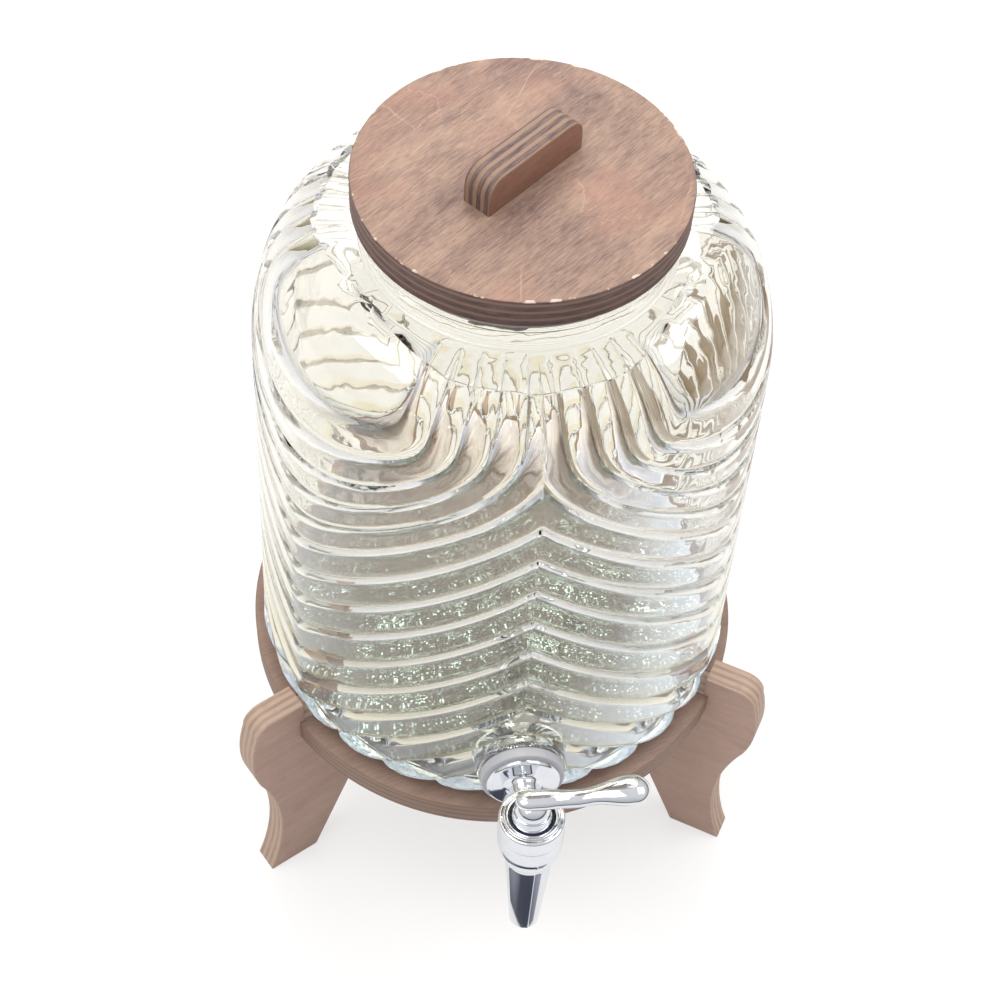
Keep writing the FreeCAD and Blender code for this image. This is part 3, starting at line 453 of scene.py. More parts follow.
# tones of the glass: its own cream and cool tints, a painted cream highlight and bluish shade at the creases,
# a floor tint that is partly painted shade, a painted blue-grey shade on the heel, a painted glow on the
# floor's rim, painted glints, and the colour that light keeps through the glass
glassTones = {
    "cream": (tone(254, 252, 247), tone(253, 251, 247)),
    "cool": (tone(249, 250, 243), tone(246, 247, 241)),
    "creaseHighlight": (tone(232, 220, 180), tone(248, 244, 236)),
    "creaseShade": (tone(188, 193, 204), tone(214, 217, 224)),
    "sparkle": (tone(146, 178, 158), tone(226, 250, 240)), "floor": tone(202, 210, 196),
    "heel": tone(158, 168, 186), "rimGlow": tone(206, 216, 232), "rearGlow": tone(244, 236, 216),
    "shadow": (0.70, 0.70, 0.69, 1.0),
}
# axis of the crease attribute, share at which the tone is full, and the tone: a painted cream highlight above
# a crease and a painted bluish shade below it
paintedCreaseTones = (("X", 0.35, "creaseHighlight"), ("Y", 0.5, "creaseShade"))


def makeStippleGlintGroup():
    # stippled glass floor: small cells, a few of them painted bright as glints; Glow is their painted light
    # and Height the stipple
    group, given, out = newGroup("stippleAndGlints", [("Point", "Vector")],
                                 [("Glow", "Color"), ("Height", "Float")])
    point = given["Point"]
    cells = newNode(group, "TexVoronoi", {"Vector": point, "Scale": glassLook["sparkleScale"]}).outputs
    chance = newNode(group, "SeparateColor", {0: cells["Color"]}).outputs
    cloud = mathNode(group, "SUBTRACT", noiseNode(group, point, *glassLook["cloud"]), 0.5)
    lucky = mathNode(group, "ADD", chance[0], times(group, cloud, glassLook["cloudShare"]))
    bright = fadeNode(group, lucky, *glassLook["bright"])
    core = fadeNode(group, cells["Distance"], *glassLook["core"])
    shine = mixColour(group, chance[1], *glassTones["sparkle"])
    glow = mixColour(group, times(group, bright, core), grey(0.0), shine)
    fill(group, out, {"Glow": glow, "Height": noiseNode(group, point, *glassLook["stipple"])})
    return group


stippleGlintGroup = makeStippleGlintGroup()


def glassMaterial():
    # clear pressed glass: cream above and green-grey below, shallow waves, painted highlight and shade at the
    # creases, a stippled floor with painted glints and a painted glow on its rim, and light passes to the
    # stand
    material, tree, shader = newMaterial("jarGlass")
    coords = objectCoords(tree)
    place = separate(tree, coords)
    level, radius = place["Z"], radiusNode(tree, coords)

    def ranged(name, value):
        low, high, *strength = glassRanges[name]
        return rangeNode(tree, value, low * mm, high * mm, *strength)

    def below(value, name):
        return mathNode(tree, "LESS_THAN", value, glassLook[name] * mm)

    def above(value, name):
        return mathNode(tree, "GREATER_THAN", value, glassLook[name] * mm)

    high, ahead = ranged("tint", level), ranged("front", place["Y"])
    drift = noiseNode(tree, coords, *glassLook["drift"])
    cool = mixColour(tree, drift, *glassTones["cool"])
    tinted = mixColour(tree, high, cool, mixColour(tree, drift, *glassTones["cream"]))
    # painted highlight and shade: the flank of a rib is painted cream above a crease and a bluish shade below
    # it
    flank = newNode(tree, "Attribute", attribute_name="creaseSide").outputs["Vector"]
    sides = separate(tree, mapped(tree, flank))
    for axis, full, name in paintedCreaseTones:
        creaseLightTone = mixColour(tree, high, *glassTones[name])
        tinted = mixColour(tree, fadeNode(tree, sides[axis], 0.0, full), tinted, creaseLightTone)
    # the front half of the floor is stippled and tinted grey-green, partly the glass's own colour and partly
    # painted shade of the stand seen through it, and the thick heel is painted a darker blue-grey shade in
    # front
    atFront = times(tree, below(level, "floorHigh"), ahead)
    tinted = mixColour(tree, atFront, tinted, glassTones["floor"])
    atHeel = times(tree, times(tree, below(level, "heelTop"), above(radius, "heelRadius")), ahead)
    tinted = mixColour(tree, atHeel, tinted, glassTones["heel"])
    # the rim of the floor has a painted glow that stands in for reflected light, bluish on the right and
    # cream at the back, and painted glints sparkle on the floor in front
    inside = times(tree, above(level, "floorLow"), below(radius, "innerRadius"))
    onFloor = times(tree, inside, atFront)
    onRim = times(tree, inside, below(level, "rimGlowTop"))
    rimGlow = times(tree, ranged("rimGlow", radius), ranged("side", place["X"]))
    glow = mixColour(tree, times(tree, onRim, rimGlow), grey(0.0), glassTones["rimGlow"])
    glow = mixColour(tree, times(tree, onRim, ranged("rear", place["Y"])), glow, glassTones["rearGlow"])
    stipple = newNode(tree, "Group", node_tree=stippleGlintGroup)
    fill(tree, stipple, {"Point": coords})
    sparkling = times(tree, onFloor, ranged("sparkle", place["Y"]))
    sparkle = mixColour(tree, sparkling, grey(0.0), stipple.outputs["Glow"])
    glow = mixColour(tree, 1.0, glow, sparkle, "ADD")
    stippled = bumpNode(tree, times(tree, stipple.outputs["Height"], onFloor), *glassLook["stippleBump"])
    wave = times(tree, noiseNode(tree, coords, *glassLook["wave"]), ranged("waves", level))
    relief = bumpNode(tree, wave, *glassLook["waveBump"], Normal=stippled)
    fill(tree, shader, {
        "Base Color": tinted, "Emission Color": glow, "Emission Strength": glassLook["glow"],
        "Normal": relief, "Transmission Weight": 1.0, "IOR": glassLook["ior"], "Roughness": 0.0})
    clear = newNode(tree, "BsdfTransparent", {"Color": glassTones["shadow"]})
    shadow = newNode(tree, "LightPath").outputs["Is Shadow Ray"]
    mix = newNode(tree, "MixShader", {"Fac": shadow, 1: shader.outputs[0], 2: clear.outputs[0]})
    fill(tree, tree.nodes["Material Output"], {"Surface": mix.outputs[0]})
    return material


plainLook = {"drift": (180.0, 5.0, 0.6), "grit": (1080.0, 2.0), "gritStrength": 0.3}


def plainMaterial(name, light, dark, rough, metallic=0.0, bumpHeight=0.0, through=0.0):
    # two close tones drift over the surface, and the gloss drifts with them
    material, tree, shader = newMaterial(name)
    coords = objectCoords(tree)
    drift = noiseNode(tree, coords, *plainLook["drift"])
    fill(tree, shader, {
        "Base Color": mixColour(tree, drift, light, dark), "Metallic": metallic,
        "Transmission Weight": through,
        "Roughness": mathNode(tree, "MULTIPLY_ADD", drift, rough[1] - rough[0], rough[0])})
    if bumpHeight:
        grit = noiseNode(tree, coords, *plainLook["grit"])
        fill(tree, shader, {"Normal": bumpNode(tree, grit, plainLook["gritStrength"], bumpHeight * mm)})
    return material


glass = glassMaterial()
chrome = plainMaterial("polishedChrome", tone(236, 238, 242), tone(218, 221, 228), (0.03, 0.09), metallic=1.0)
silicone = plainMaterial("clearSilicone", tone(228, 228, 234), tone(210, 210, 218), (0.35, 0.5),
                         bumpHeight=0.05, through=0.35)
nylon = plainMaterial("milkyNylon", tone(204, 198, 186), tone(186, 182, 172), (0.4, 0.55),
                      bumpHeight=0.04, through=0.4)
valvePlastic = plainMaterial("valvePlastic", tone(70, 72, 76), tone(54, 56, 60), (0.4, 0.55), bumpHeight=0.04)
rubber = plainMaterial("blackRubber", tone(38, 38, 38), tone(24, 24, 24), (0.55, 0.75), bumpHeight=0.05)
screwSteel = plainMaterial("screwSteel", tone(190, 190, 184), tone(160, 160, 152), (0.25, 0.4), metallic=1.0)
print("materials made")


# stand

stand = {
    "ply": 12.0, "seatHeight": 116.0, "discRadius": 106.0, "notchDepth": 10.0, "lapGap": 0.1,
    "lipInner": 103.4, "lipRise": 11.5, "legReach": 127.0, "legCorner": 9.0, "bulgeBottom": 81.0,
    "bulgeCurve": 64.0, "waistCurve": 106.0, "footOuter": 126.0, "footInner": 101.5,
    "ledgeRadius": 56.0, "softEdge": 0.6, "grainTurn": 20.0, "seatRadius": 88.0, "rimSteps": 60,
    "waistSteps": 24, "cornerSteps": 8,
}
legs = {
    "leg_rear": ("legRear", 90.0), "leg_front_left": ("legFrontLeft", 210.0),
    "leg_front_right": ("legFrontRight", 330.0),
}


def discOutline():
    # circle with a radial notch for each leg
    half = stand["ply"] / 2 + stand["lapGap"]
    radius = stand["discRadius"]
    cut = np.arcsin(half / radius)
    floor = radius - stand["notchDepth"]
    parts = []
    for _, degrees in legs.values():
        angle = np.radians(degrees)
        out = np.array([np.cos(angle), np.sin(angle)])
        across = np.array([-out[1], out[0]])
        parts.append(np.array([floor * out - half * across, floor * out + half * across]))
        a = angle + np.linspace(cut, 2 * np.pi / len(legs) - cut, stand["rimSteps"])
        parts.append(radius * np.stack([np.cos(a), np.sin(a)], -1))
    return np.concatenate(parts)


def legOutline():
    # radius and height: foot, waist, bulge, lip and the ledge that carries the disc
    seat = stand["seatHeight"]
    top, under = seat + stand["lipRise"], seat - stand["ply"]
    reach, corner, lip = stand["legReach"], stand["legCorner"], stand["lipInner"]
    tenon = stand["discRadius"] - stand["notchDepth"] + stand["lapGap"]
    flex = (reach, stand["bulgeBottom"])
    bend = (reach, top - corner)
    return np.concatenate([
        [(stand["footInner"], 0.0)],
        arcBetween((stand["footOuter"], 0.0), flex, stand["waistCurve"], -1, stand["waistSteps"]),
        arcBetween(flex, bend, stand["bulgeCurve"], 1)[1:],
        arcBetween(bend, (reach - corner, top), corner, 1, stand["cornerSteps"])[1:],
        [(lip, top), (lip, seat), (tenon, seat), (tenon, under), (stand["ledgeRadius"], under)],
    ])


def makeStand():
    # the disc, and one leg outline turned to its three places
    ply = stand["ply"]
    under = stand["seatHeight"] - ply
    points, faces = plate(discOutline(), ply, stand["softEdge"])
    points[:, 2] += under
    # the disc gets the jar's painted shadow round the seat
    wood = plyMaterial("standDiscPly", "disc", stand["grainTurn"], False, -under, ply,
                       shadowRadius=stand["seatRadius"])
    finishPiece(newPiece("standDisc", points, faces), "stand", wood, "stand_disc")
    flat, faces = plate(legOutline(), ply, stand["softEdge"])
    for node, (name, angle) in legs.items():
        # grain level along the radius, plies across the leg's thickness
        wood = plyMaterial(name + "Ply", "stand", angle, True, ply / 2, ply)
        piece = newPiece(name, turned(standing(flat, ply), angle), faces)
        finishPiece(piece, "stand", wood, node)


makeStand()
print("stand made")


# jar

jar = {
    "base": 116.0, "height": 249.0, "footRadius": 88.0, "heelHeight": 16.0, "lowRadius": 98.8,
    "topRadius": 95.0, "shoulderHeight": 180.0, "neckFootRadius": 62.0, "neckFootHeight": 234.0,
    "neckRadius": 56.0, "rimRadius": 58.0, "rimHeight": 6.0, "mouthRadius": 50.0, "wall": 4.0,
    "floor": 8.0, "innerHeel": 12.0, "footHollow": 1.5, "hollowEdge": 0.93, "hollowSlope": 0.2,
    "neckRound": 2.0, "rimRound": 1.2, "lipRound": 1.6, "mouthRound": 3.0, "mouthSteps": 4,
    "sideSteps": 240, "floorSteps": 10, "sharp": 28.0,
}
ribs = {
    "depth": 2.6, "patternRadius": 100.0, "panels": 3, "panelBottom": 209.0, "panelHalf": 49.0,
    "pitch": 16.6, "growth": 3.0, "roundRibs": 5, "slope": 0.78, "flutes": 9, "troughRound": 110.0,
    "troughFade": 2.0, "bendReach": 0.33, "bendPower": 8, "bendEnd": 0.9999, "neckFade": 5.0,
    "baseFade": 3.0, "heelLobe": 1.8, "heelOut": 0.85, "seam": 0.12, "seamWidth": 1.3, "alongSteps": 38,
    "alongCrowd": 1.6, "lastGap": 0.01, "arcDigits": 6, "acrossSteps": 10, "panelSteps": 9,
    "innerDepth": 0.15, "creaseRound": 0.015, "creaseCrowd": 0.92, "crownAt": (14.0, 58.0, 180.0, 222.0),
    "crown": (2.2, 8.5, 8.5, 3.2), "groove": (2.5, 1.5, 1.5, 1.7), "flankAt": (30.0, 90.0),
    "flank": (0.66, 0.86), "flankAbove": 0.09,
}
boss = {
    "face": 106.0, "height": 32.0, "tilt": 5.0, "radius": 18.5, "depth": 13.5, "hole": 8.6,
    "reach": 31.0, "frontRound": 2.0, "backRound": 1.0, "cutPast": 1.0, "steps": 72, "holeSteps": 48,
}
arcEnd = np.pi / ribs["panels"] * ribs["patternRadius"]
panelMiddles = np.radians(90 + 360 / ribs["panels"] * np.arange(ribs["panels"]))
halvings = 48
same, near = 1e-9, 1e-6   # lengths and angles closer than this count as equal


def jarSide():
    # length up the side, radius, height and outward normal over the heel, wall and shoulder
    steps = jar["sideSteps"]
    a = np.linspace(0, np.pi / 2, steps, endpoint=False)
    share = np.linspace(0, 1, steps, endpoint=False)
    b = np.linspace(0, np.pi / 2, steps + 1)
    rise = jar["shoulderHeight"] - jar["heelHeight"]
    radius = np.concatenate([
        jar["footRadius"] + (jar["lowRadius"] - jar["footRadius"]) * np.sin(a),
        jar["lowRadius"] + (jar["topRadius"] - jar["lowRadius"]) * share,
        jar["neckFootRadius"] + (jar["topRadius"] - jar["neckFootRadius"]) * np.cos(b)])
    height = np.concatenate([
        jar["heelHeight"] * (1 - np.cos(a)), jar["heelHeight"] + rise * share,
        jar["shoulderHeight"] + (jar["neckFootHeight"] - jar["shoulderHeight"]) * np.sin(b)])
    step = np.hypot(np.diff(radius), np.diff(height))
    length = np.concatenate([[0], np.cumsum(step)])
    length += height[steps] - length[steps]
    out = np.append(np.diff(height) / step, 0.0)
    lift = np.maximum(np.append(-np.diff(radius) / step, 1.0), 0.0)
    # the inside lies one wall further in, and rounds into the floor below the heel
    innerRadius = radius - jar["wall"] * out
    innerHeight = height - jar["wall"] * lift
    heel = jar["innerHeel"]
    innerRadius[:steps] = jar["lowRadius"] - jar["wall"] - heel + heel * np.sin(a)
    innerHeight[:steps] = jar["floor"] + (jar["heelHeight"] - jar["floor"]) * (1 - np.cos(a))
    return (length, radius, height, out, lift), (length, innerRadius, innerHeight, out, lift)


outerSide, innerSide = jarSide()
sideLow, sideHigh = outerSide[0][0], outerSide[0][-1]


def ribFoot(number, arc):
    # trough that gets sharper downwards, then a straight rise
    roundOff = ribs["troughRound"] * np.exp(-number / ribs["troughFade"])
    extra = ribs["growth"] * np.maximum(number - ribs["roundRibs"], 0)
    trough = ribs["panelBottom"] - ribs["pitch"] * number - extra
    return trough + ribs["slope"] * (np.hypot(arc, roundOff) - roundOff)


def ribBend(share):
    # rise that turns a rib upright as it nears its own flute
    reached = np.minimum(share, ribs["bendEnd"])
    return ribs["bendReach"] * reached ** ribs["bendPower"] / (1 - reached)


def halve(rule, low, high):
    # middle of a bracket after halving; the rule is true at the low end
    for _ in range(halvings):
        middle = (low + high) / 2
        true = rule(middle)
        low, high = np.where(true, middle, low), np.where(true, high, middle)
    return (low + high) / 2


middleFlute = ribs["flutes"] / 2
cornerShare = halve(lambda share: ribBend(share) < sideHigh - ribFoot(middleFlute, arcEnd), 0.0, 1.0)
flutePitch = (arcEnd / cornerShare - ribs["panelHalf"]) / middleFlute


def ribHeight(number, arc):
    # length up the side that a rib line has reached: its foot and its bend
    return ribFoot(number, arc) + ribBend(arc / (ribs["panelHalf"] + flutePitch * number))


def outerSwell(part, length):
    # crown that falls ever faster to the creases on both sides, rounded where two ribs meet;
    # it is flat on the wall, and rounder on the heel and the shoulder
    soft = ribs["creaseRound"]
    inward = (np.hypot(np.minimum(part, 1 - part), soft) - soft) / (np.hypot(0.5, soft) - soft)
    power = np.interp(length, ribs["crownAt"], ribs["crown"])
    return ribs["depth"] - np.interp(length, ribs["crownAt"], ribs["groove"]) * (1 - inward) ** power


def innerSwell(part):
    # the inside only follows in shallow waves
    return ribs["depth"] - ribs["innerDepth"] * (0.5 + 0.5 * np.cos(2 * np.pi * part))


def wallPoint(arc, length, swell, side):
    # point of the wall, raised along its normal by the swell, which dies out at the neck and the base
    radius, height, out, lift = (np.interp(length, side[0], row) for row in side[1:])
    fade = np.clip((sideHigh - length) / ribs["neckFade"], 0, 1)
    fade = fade * np.clip((length - sideLow) / ribs["baseFade"], 0, 1)
    heel = np.clip((jar["heelHeight"] - length) / jar["heelHeight"], 0, 1)
    out = np.where(length < jar["heelHeight"], np.maximum(out, ribs["heelOut"]), out)
    out = out * (1 + ribs["heelLobe"] * heel)
    raised = (swell + ribs["seam"] * np.exp(-((arcEnd - arc) / ribs["seamWidth"]) ** 2)) * fade
    return radius + out * raised, arc / ribs["patternRadius"], height + lift * raised


def ribbedHalf():
    # grid over half a panel: a smooth fan above the first rib line, then lines of growing rib number,
    # closer together at the creases; the share of its rib that each row has reached is given too
    last = halve(lambda n: ribHeight(n, arcEnd) > sideLow, ribs["roundRibs"], 10 * ribs["roundRibs"])
    baseCorner = halve(lambda n: ribHeight(n, 0.0) > sideLow, 0.0, last)
    whole = int(np.floor(last))
    k = np.arange(ribs["acrossSteps"]) / ribs["acrossSteps"]
    part = k - ribs["creaseCrowd"] * np.sin(2 * np.pi * k) / (2 * np.pi)
    number = (np.arange(whole + 1)[:, None] + part).ravel()
    number = np.sort(np.concatenate([number[number < last - ribs["lastGap"]], [baseCorner, last]]))
    share = 1 - (1 - np.linspace(0, 1, ribs["alongSteps"] + 1)) ** ribs["alongCrowd"]
    none, full = np.zeros_like(number), np.full_like(number, arcEnd)
    lowArc = np.where(ribHeight(number, 0.0) > sideLow + same, 0.0,
                      halve(lambda s: ribHeight(number, s) < sideLow, none, full))
    lowArc[np.abs(number - baseCorner) < same] = 0.0
    highArc = np.where(ribHeight(number, arcEnd) < sideHigh - same, arcEnd,
                       halve(lambda s: ribHeight(number, s) < sideHigh, lowArc, full))
    arc = lowArc[:, None] + (highArc - lowArc)[:, None] * share
    length = np.clip(ribHeight(number[:, None], arc), sideLow, sideHigh)
    fan = np.linspace(1, 0, ribs["panelSteps"], endpoint=False)[:, None]
    fanLength = length[0] + (sideHigh - length[0]) * fan
    arc = np.concatenate([arc[0] * (1 - fan), arc])
    length = np.concatenate([fanLength, length])
    reached = np.concatenate([np.zeros(len(fan)), number % 1.0])
    return arc, length, np.broadcast_to(reached[:, None], arc.shape)


def ringAngles(arcs):
    # the pattern's arcs on a circle, mirrored and repeated round the jar, each angle once
    arcs = np.unique(np.round(arcs, ribs["arcDigits"]))
    a = np.concatenate([arcs, -arcs]) / ribs["patternRadius"]
    every = np.sort((a + panelMiddles[:, None]).ravel() % (2 * np.pi))
    return every[np.append(np.diff(every) > near, every[0] + 2 * np.pi - every[-1] > near)]


def mouthProfile():
    # from the foot of the neck over the rim and down the mouth to the top of the inner shoulder
    top, neck, mouth = jar["height"], jar["neckRadius"], jar["mouthRadius"]
    foot, rim, start = jar["neckFootHeight"], jar["rimRadius"], jar["neckFootRadius"]
    under, inside = top - jar["rimHeight"], foot - jar["wall"]
    return roundCorners([
        (start, foot), (neck, foot, jar["neckRound"]), (neck, under, jar["rimRound"]),
        (rim, under, jar["rimRound"]), (rim, top, jar["lipRound"]), (mouth, top, jar["lipRound"]),
        (mouth, inside, jar["mouthRound"]), (start, inside)], jar["mouthSteps"])


def tapPlace(points):
    # from the tap's own frame, Y to the jar and Z up the barrel, to the object's
    tilt = np.radians(boss["tilt"])
    x, y, z = np.asarray(points, float).T
    origin = np.array([0, -boss["face"] - boss["reach"] * np.cos(tilt),
                       jar["base"] + boss["height"] + boss["reach"] * np.sin(tilt)])
    along = y * np.cos(tilt) + z * np.sin(tilt)
    return np.stack([x, along, -y * np.sin(tilt) + z * np.cos(tilt)], -1) + origin


def shankLathe(profile, count=96, closed=False):
    # lathe about the shank: the profile is radius and distance from the barrel's axis
    points, faces = lathe(profile, count, closed)
    return tapPlace(np.stack([points[:, 0], points[:, 2], -points[:, 1]], -1)), faces


def roundTheJar(arc, length, swell, side):
    # the half panel, its mirror image, and both again for each panel
    radius, angle, height = wallPoint(arc, length, swell, side)
    middle = panelMiddles[:, None, None]
    a = np.concatenate([angle[None] + middle, middle - angle[None]])
    points = np.stack([radius * np.cos(a), radius * np.sin(a), np.broadcast_to(height, a.shape)], -1)
    offset = np.arange(len(a))[:, None, None] * arc.size
    return points.reshape(-1, 3), (gridFaces(*arc.shape)[None] + offset).reshape(-1, 4)


def makeJar():
    # outer and inner wall, mouth, bottom and floor in one mesh, then the boss and its hole
    arc, length, part = ribbedHalf()
    neckAngles = ringAngles(arc[length >= sideHigh - near])
    baseAngles = ringAngles(arc[length <= sideLow + near])
    r = np.linspace(1, 0, jar["floorSteps"])
    hollow = jar["footHollow"] * np.clip((jar["hollowEdge"] - r) / jar["hollowSlope"], 0, 1)
    bottom = np.stack([jar["footRadius"] * r, hollow], -1)
    floorRadius = jar["lowRadius"] - jar["wall"] - jar["innerHeel"]
    floor = np.stack([floorRadius * r, np.full_like(r, jar["floor"])], -1)
    points, faces, count = [], [], 0
    for surface, quads in (roundTheJar(arc, length, outerSwell(part, length), outerSide),
                           roundTheJar(arc, length, innerSwell(part), innerSide),
                           ringSurface(mouthProfile(), neckAngles), ringSurface(bottom, baseAngles),
                           ringSurface(floor, baseAngles)):
        points.append(surface)
        faces.append(quads + count)
        count += len(surface)
    everything = np.concatenate(points) + [0, 0, jar["base"]]
    # how near a point is to the crease below its rib, and to the crease above it, for the glass's painted
    # crease highlight and shade; the smooth panels have none
    start = np.interp(length, ribs["flankAt"], ribs["flank"])
    below = np.clip((part - start) / (1 - start), 0, 1)
    above = np.clip(1 - part / ribs["flankAbove"], 0, 1)
    above[:ribs["panelSteps"]] = 0
    creases = np.zeros((count, 3))
    creases[:len(points[0]), 0] = np.tile(below.ravel(), 2 * ribs["panels"])
    creases[:len(points[0]), 1] = np.tile(above.ravel(), 2 * ribs["panels"])
    piece = newPiece("glassJar", everything, np.concatenate(faces), "creaseSide", creases)
    front, back = boss["reach"], boss["reach"] + boss["depth"]
    solid = roundCorners([(0, front), (boss["radius"], front, boss["frontRound"]),
                          (boss["radius"], back, boss["backRound"]), (0, back)])
    combine(piece, newPiece("jarBoss", *shankLathe(solid, boss["steps"])), "UNION")
    front, back = front - boss["cutPast"], back + boss["cutPast"]
    hole = [(0, front), (boss["hole"], front), (boss["hole"], back), (0, back)]
    combine(piece, newPiece("jarHole", *shankLathe(hole, boss["holeSteps"])), "DIFFERENCE")
    finishPiece(piece, "jar", glass, "glass_jar", sharp=jar["sharp"])
    print("jar made:", len(piece.data.polygons), "faces")


makeJar()


# tap

tap = {
    "spoutTip": 61.0, "spoutTipRadius": 6.1, "spoutSlant": 0.0745, "spoutBore": 4.3, "tipEdge": 0.4,
    "tipFlat": 0.6, "tipChamfer": 0.5, "bulge": 2.5, "bulgeLevel": -2.0, "bulgeBelow": 11.5,
    "bulgeAbove": 21.0, "bulgePower": 1.5, "barrelTop": 6.0, "spigotRadius": 11.2, "spigotTop": 13.5,
    "bore": 8.0, "boreBottom": 12.57, "counterRadius": 10.47, "counterFloor": 10.7, "neckRadius": 5.9,
    "neckStart": 9.0, "neckRound": 2.5, "flangeRadius": 15.0, "flangeThick": 2.5, "flangeRound": 1.4,
    "flangeBack": 0.3, "gasketRadius": 17.0, "gasketThick": 4.5, "gasketBore": 8.3, "gasketRound": 0.8,
    "shankRadius": 8.0, "shankEnd": 56.7, "shankBore": 4.5, "shankRound": 0.8, "skinSteps": 56,
}
seam = {
    "rise": 0.22, "width": 0.35, "turn": 6.0, "reach": 2.5, "atRadius": 10.0, "steps": 13,
    "roundSteps": 128, "gap": 0.02, "boreSkip": 0.7, "topSkip": 0.1,
}
bonnet = {
    "radius": 13.25, "low": 6.1, "underLip": 13.6, "top": 15.1, "bore": 11.5, "opening": 9.3,
    "lip": 11.2, "step": 0.9, "lowRound": 0.5, "stepRound": 1.1, "innerRound": 0.3, "lipRound": 0.5,
    "openingRound": 0.7, "steps": 128,
}
lever = {
    "low": 13.5, "skirtRadius": 8.4, "skirtHeight": 0.8, "skirtChamfer": 0.3, "skirtCurve": 20.0,
    "skirtSteps": 10, "bellRadius": 7.1, "bellHeight": 3.4, "bellTop": 24.4, "bellRound": 5.4,
    "bellSteps": 12, "socket": 5.73, "socketDepth": 8.05, "length": 45.5, "nose": 7.0, "noseRound": 5.5,
    "armLevel": 25.5, "armWidth": 7.5, "armThick": 5.8, "paddleWidth": 13.2, "paddleThick": 7.8,
    "paddleRise": 2.4, "dip": 0.9, "rootSwell": 0.7, "rowSteps": 64, "aroundSteps": 40,
}
# shares of the arm's length
leverShares = {
    "rootEnd": 0.3, "paddle": (0.40, 0.78), "climb": (0.25, 0.85), "dipEnd": 0.55, "tipRows": 0.7,
    "tipRound": 0.84,
}


def seamLathe(profile):
    # lathe with a fine raised line down the front, left where two moulds met; bores stay round
    line = np.radians(seam["turn"] - 90.0)
    fine = line + np.linspace(-1, 1, seam["steps"]) * seam["reach"] * seam["width"] / seam["atRadius"]
    wide = np.linspace(0, 2 * np.pi, seam["roundSteps"], endpoint=False) + fine[-1] + seam["gap"]
    a = np.concatenate([fine, wide[wide < fine[0] + 2 * np.pi - seam["gap"]]])
    profile = np.concatenate([profile, profile[:1]])
    radius, level = profile[:, :1], profile[:, 1:]
    outside = (radius > tap["spoutBore"] + seam["boreSkip"]) & (level < tap["barrelTop"] - seam["topSkip"])
    outside &= radius != tap["bore"]
    rise = seam["rise"] * np.exp(-((a - line) * radius / seam["width"]) ** 2) * outside
    return ringSurface(profile, a, rise)


def makeTapBody():
    # spout and barrel are one cone with a smooth bulge round the valve
    tip, tipRadius, bore = tap["spoutTip"], tap["spoutTipRadius"], tap["spoutBore"]
    level = np.linspace(tap["tipEdge"] - tip, tap["barrelTop"], tap["skinSteps"])
    reach = np.where(level < tap["bulgeLevel"], tap["bulgeBelow"], tap["bulgeAbove"])
    swell = np.clip(1 - ((level - tap["bulgeLevel"]) / reach) ** 2, 0, 1) ** tap["bulgePower"]
    skin = np.stack([tipRadius + tap["spoutSlant"] * (level + tip) + tap["bulge"] * swell, level], -1)
    barrel = np.concatenate([
        [(bore, -tap["boreBottom"]), (bore, tap["tipFlat"] - tip), (bore + tap["tipChamfer"], -tip),
         (tipRadius - tap["tipFlat"], -tip)],
        skin, [(tap["spigotRadius"], tap["barrelTop"]), (tap["spigotRadius"], tap["spigotTop"]),
               (tap["counterRadius"], tap["spigotTop"]), (tap["counterRadius"], tap["counterFloor"]),
               (tap["bore"], tap["counterFloor"]), (tap["bore"], -tap["boreBottom"])]])
    points, faces = seamLathe(barrel)
    piece = newPiece("tapBody", tapPlace(points), faces)
    back = boss["reach"] - tap["gasketThick"]
    front, start, end = back - tap["flangeThick"], tap["neckStart"], tap["shankEnd"]
    shank = roundCorners([
        (tap["shankBore"], start), (tap["neckRadius"], start), (tap["neckRadius"], front, tap["neckRound"]),
        (tap["flangeRadius"], front, tap["flangeRound"]), (tap["flangeRadius"], back, tap["flangeBack"]),
        (tap["shankRadius"], back), (tap["shankRadius"], end, tap["shankRound"]), (tap["shankBore"], end),
        (tap["shankBore"], start)])
    combine(piece, newPiece("tapShank", *shankLathe(shank[:-1], closed=True)), "UNION")
    finishPiece(piece, "jar", chrome, "tap_body")


def makeTapRings():
    # the bonnet on the barrel and the gasket behind the flange
    low, top, underLip = bonnet["low"], bonnet["top"], bonnet["underLip"]
    step = top - bonnet["step"]
    ring = roundCorners([
        (bonnet["bore"], low), (bonnet["radius"], low, bonnet["lowRound"]),
        (bonnet["radius"], step, bonnet["stepRound"]), (bonnet["lip"], step, bonnet["innerRound"]),
        (bonnet["lip"], top, bonnet["lipRound"]), (bonnet["opening"], top, bonnet["openingRound"]),
        (bonnet["opening"], underLip), (bonnet["bore"], underLip)])
    points, faces = lathe(ring, bonnet["steps"], closed=True)
    finishPiece(newPiece("tapBonnet", tapPlace(points), faces), "jar", chrome, "tap_bonnet")
    front, back = boss["reach"] - tap["gasketThick"], boss["reach"]
    gasket = roundCorners([
        (tap["gasketBore"], front), (tap["gasketRadius"], front, tap["gasketRound"]),
        (tap["gasketRadius"], back, tap["gasketRound"]), (tap["gasketBore"], back)])
    piece = newPiece("tapGasket", *shankLathe(gasket, closed=True))
    finishPiece(piece, "jar", silicone, "tap_front_gasket")


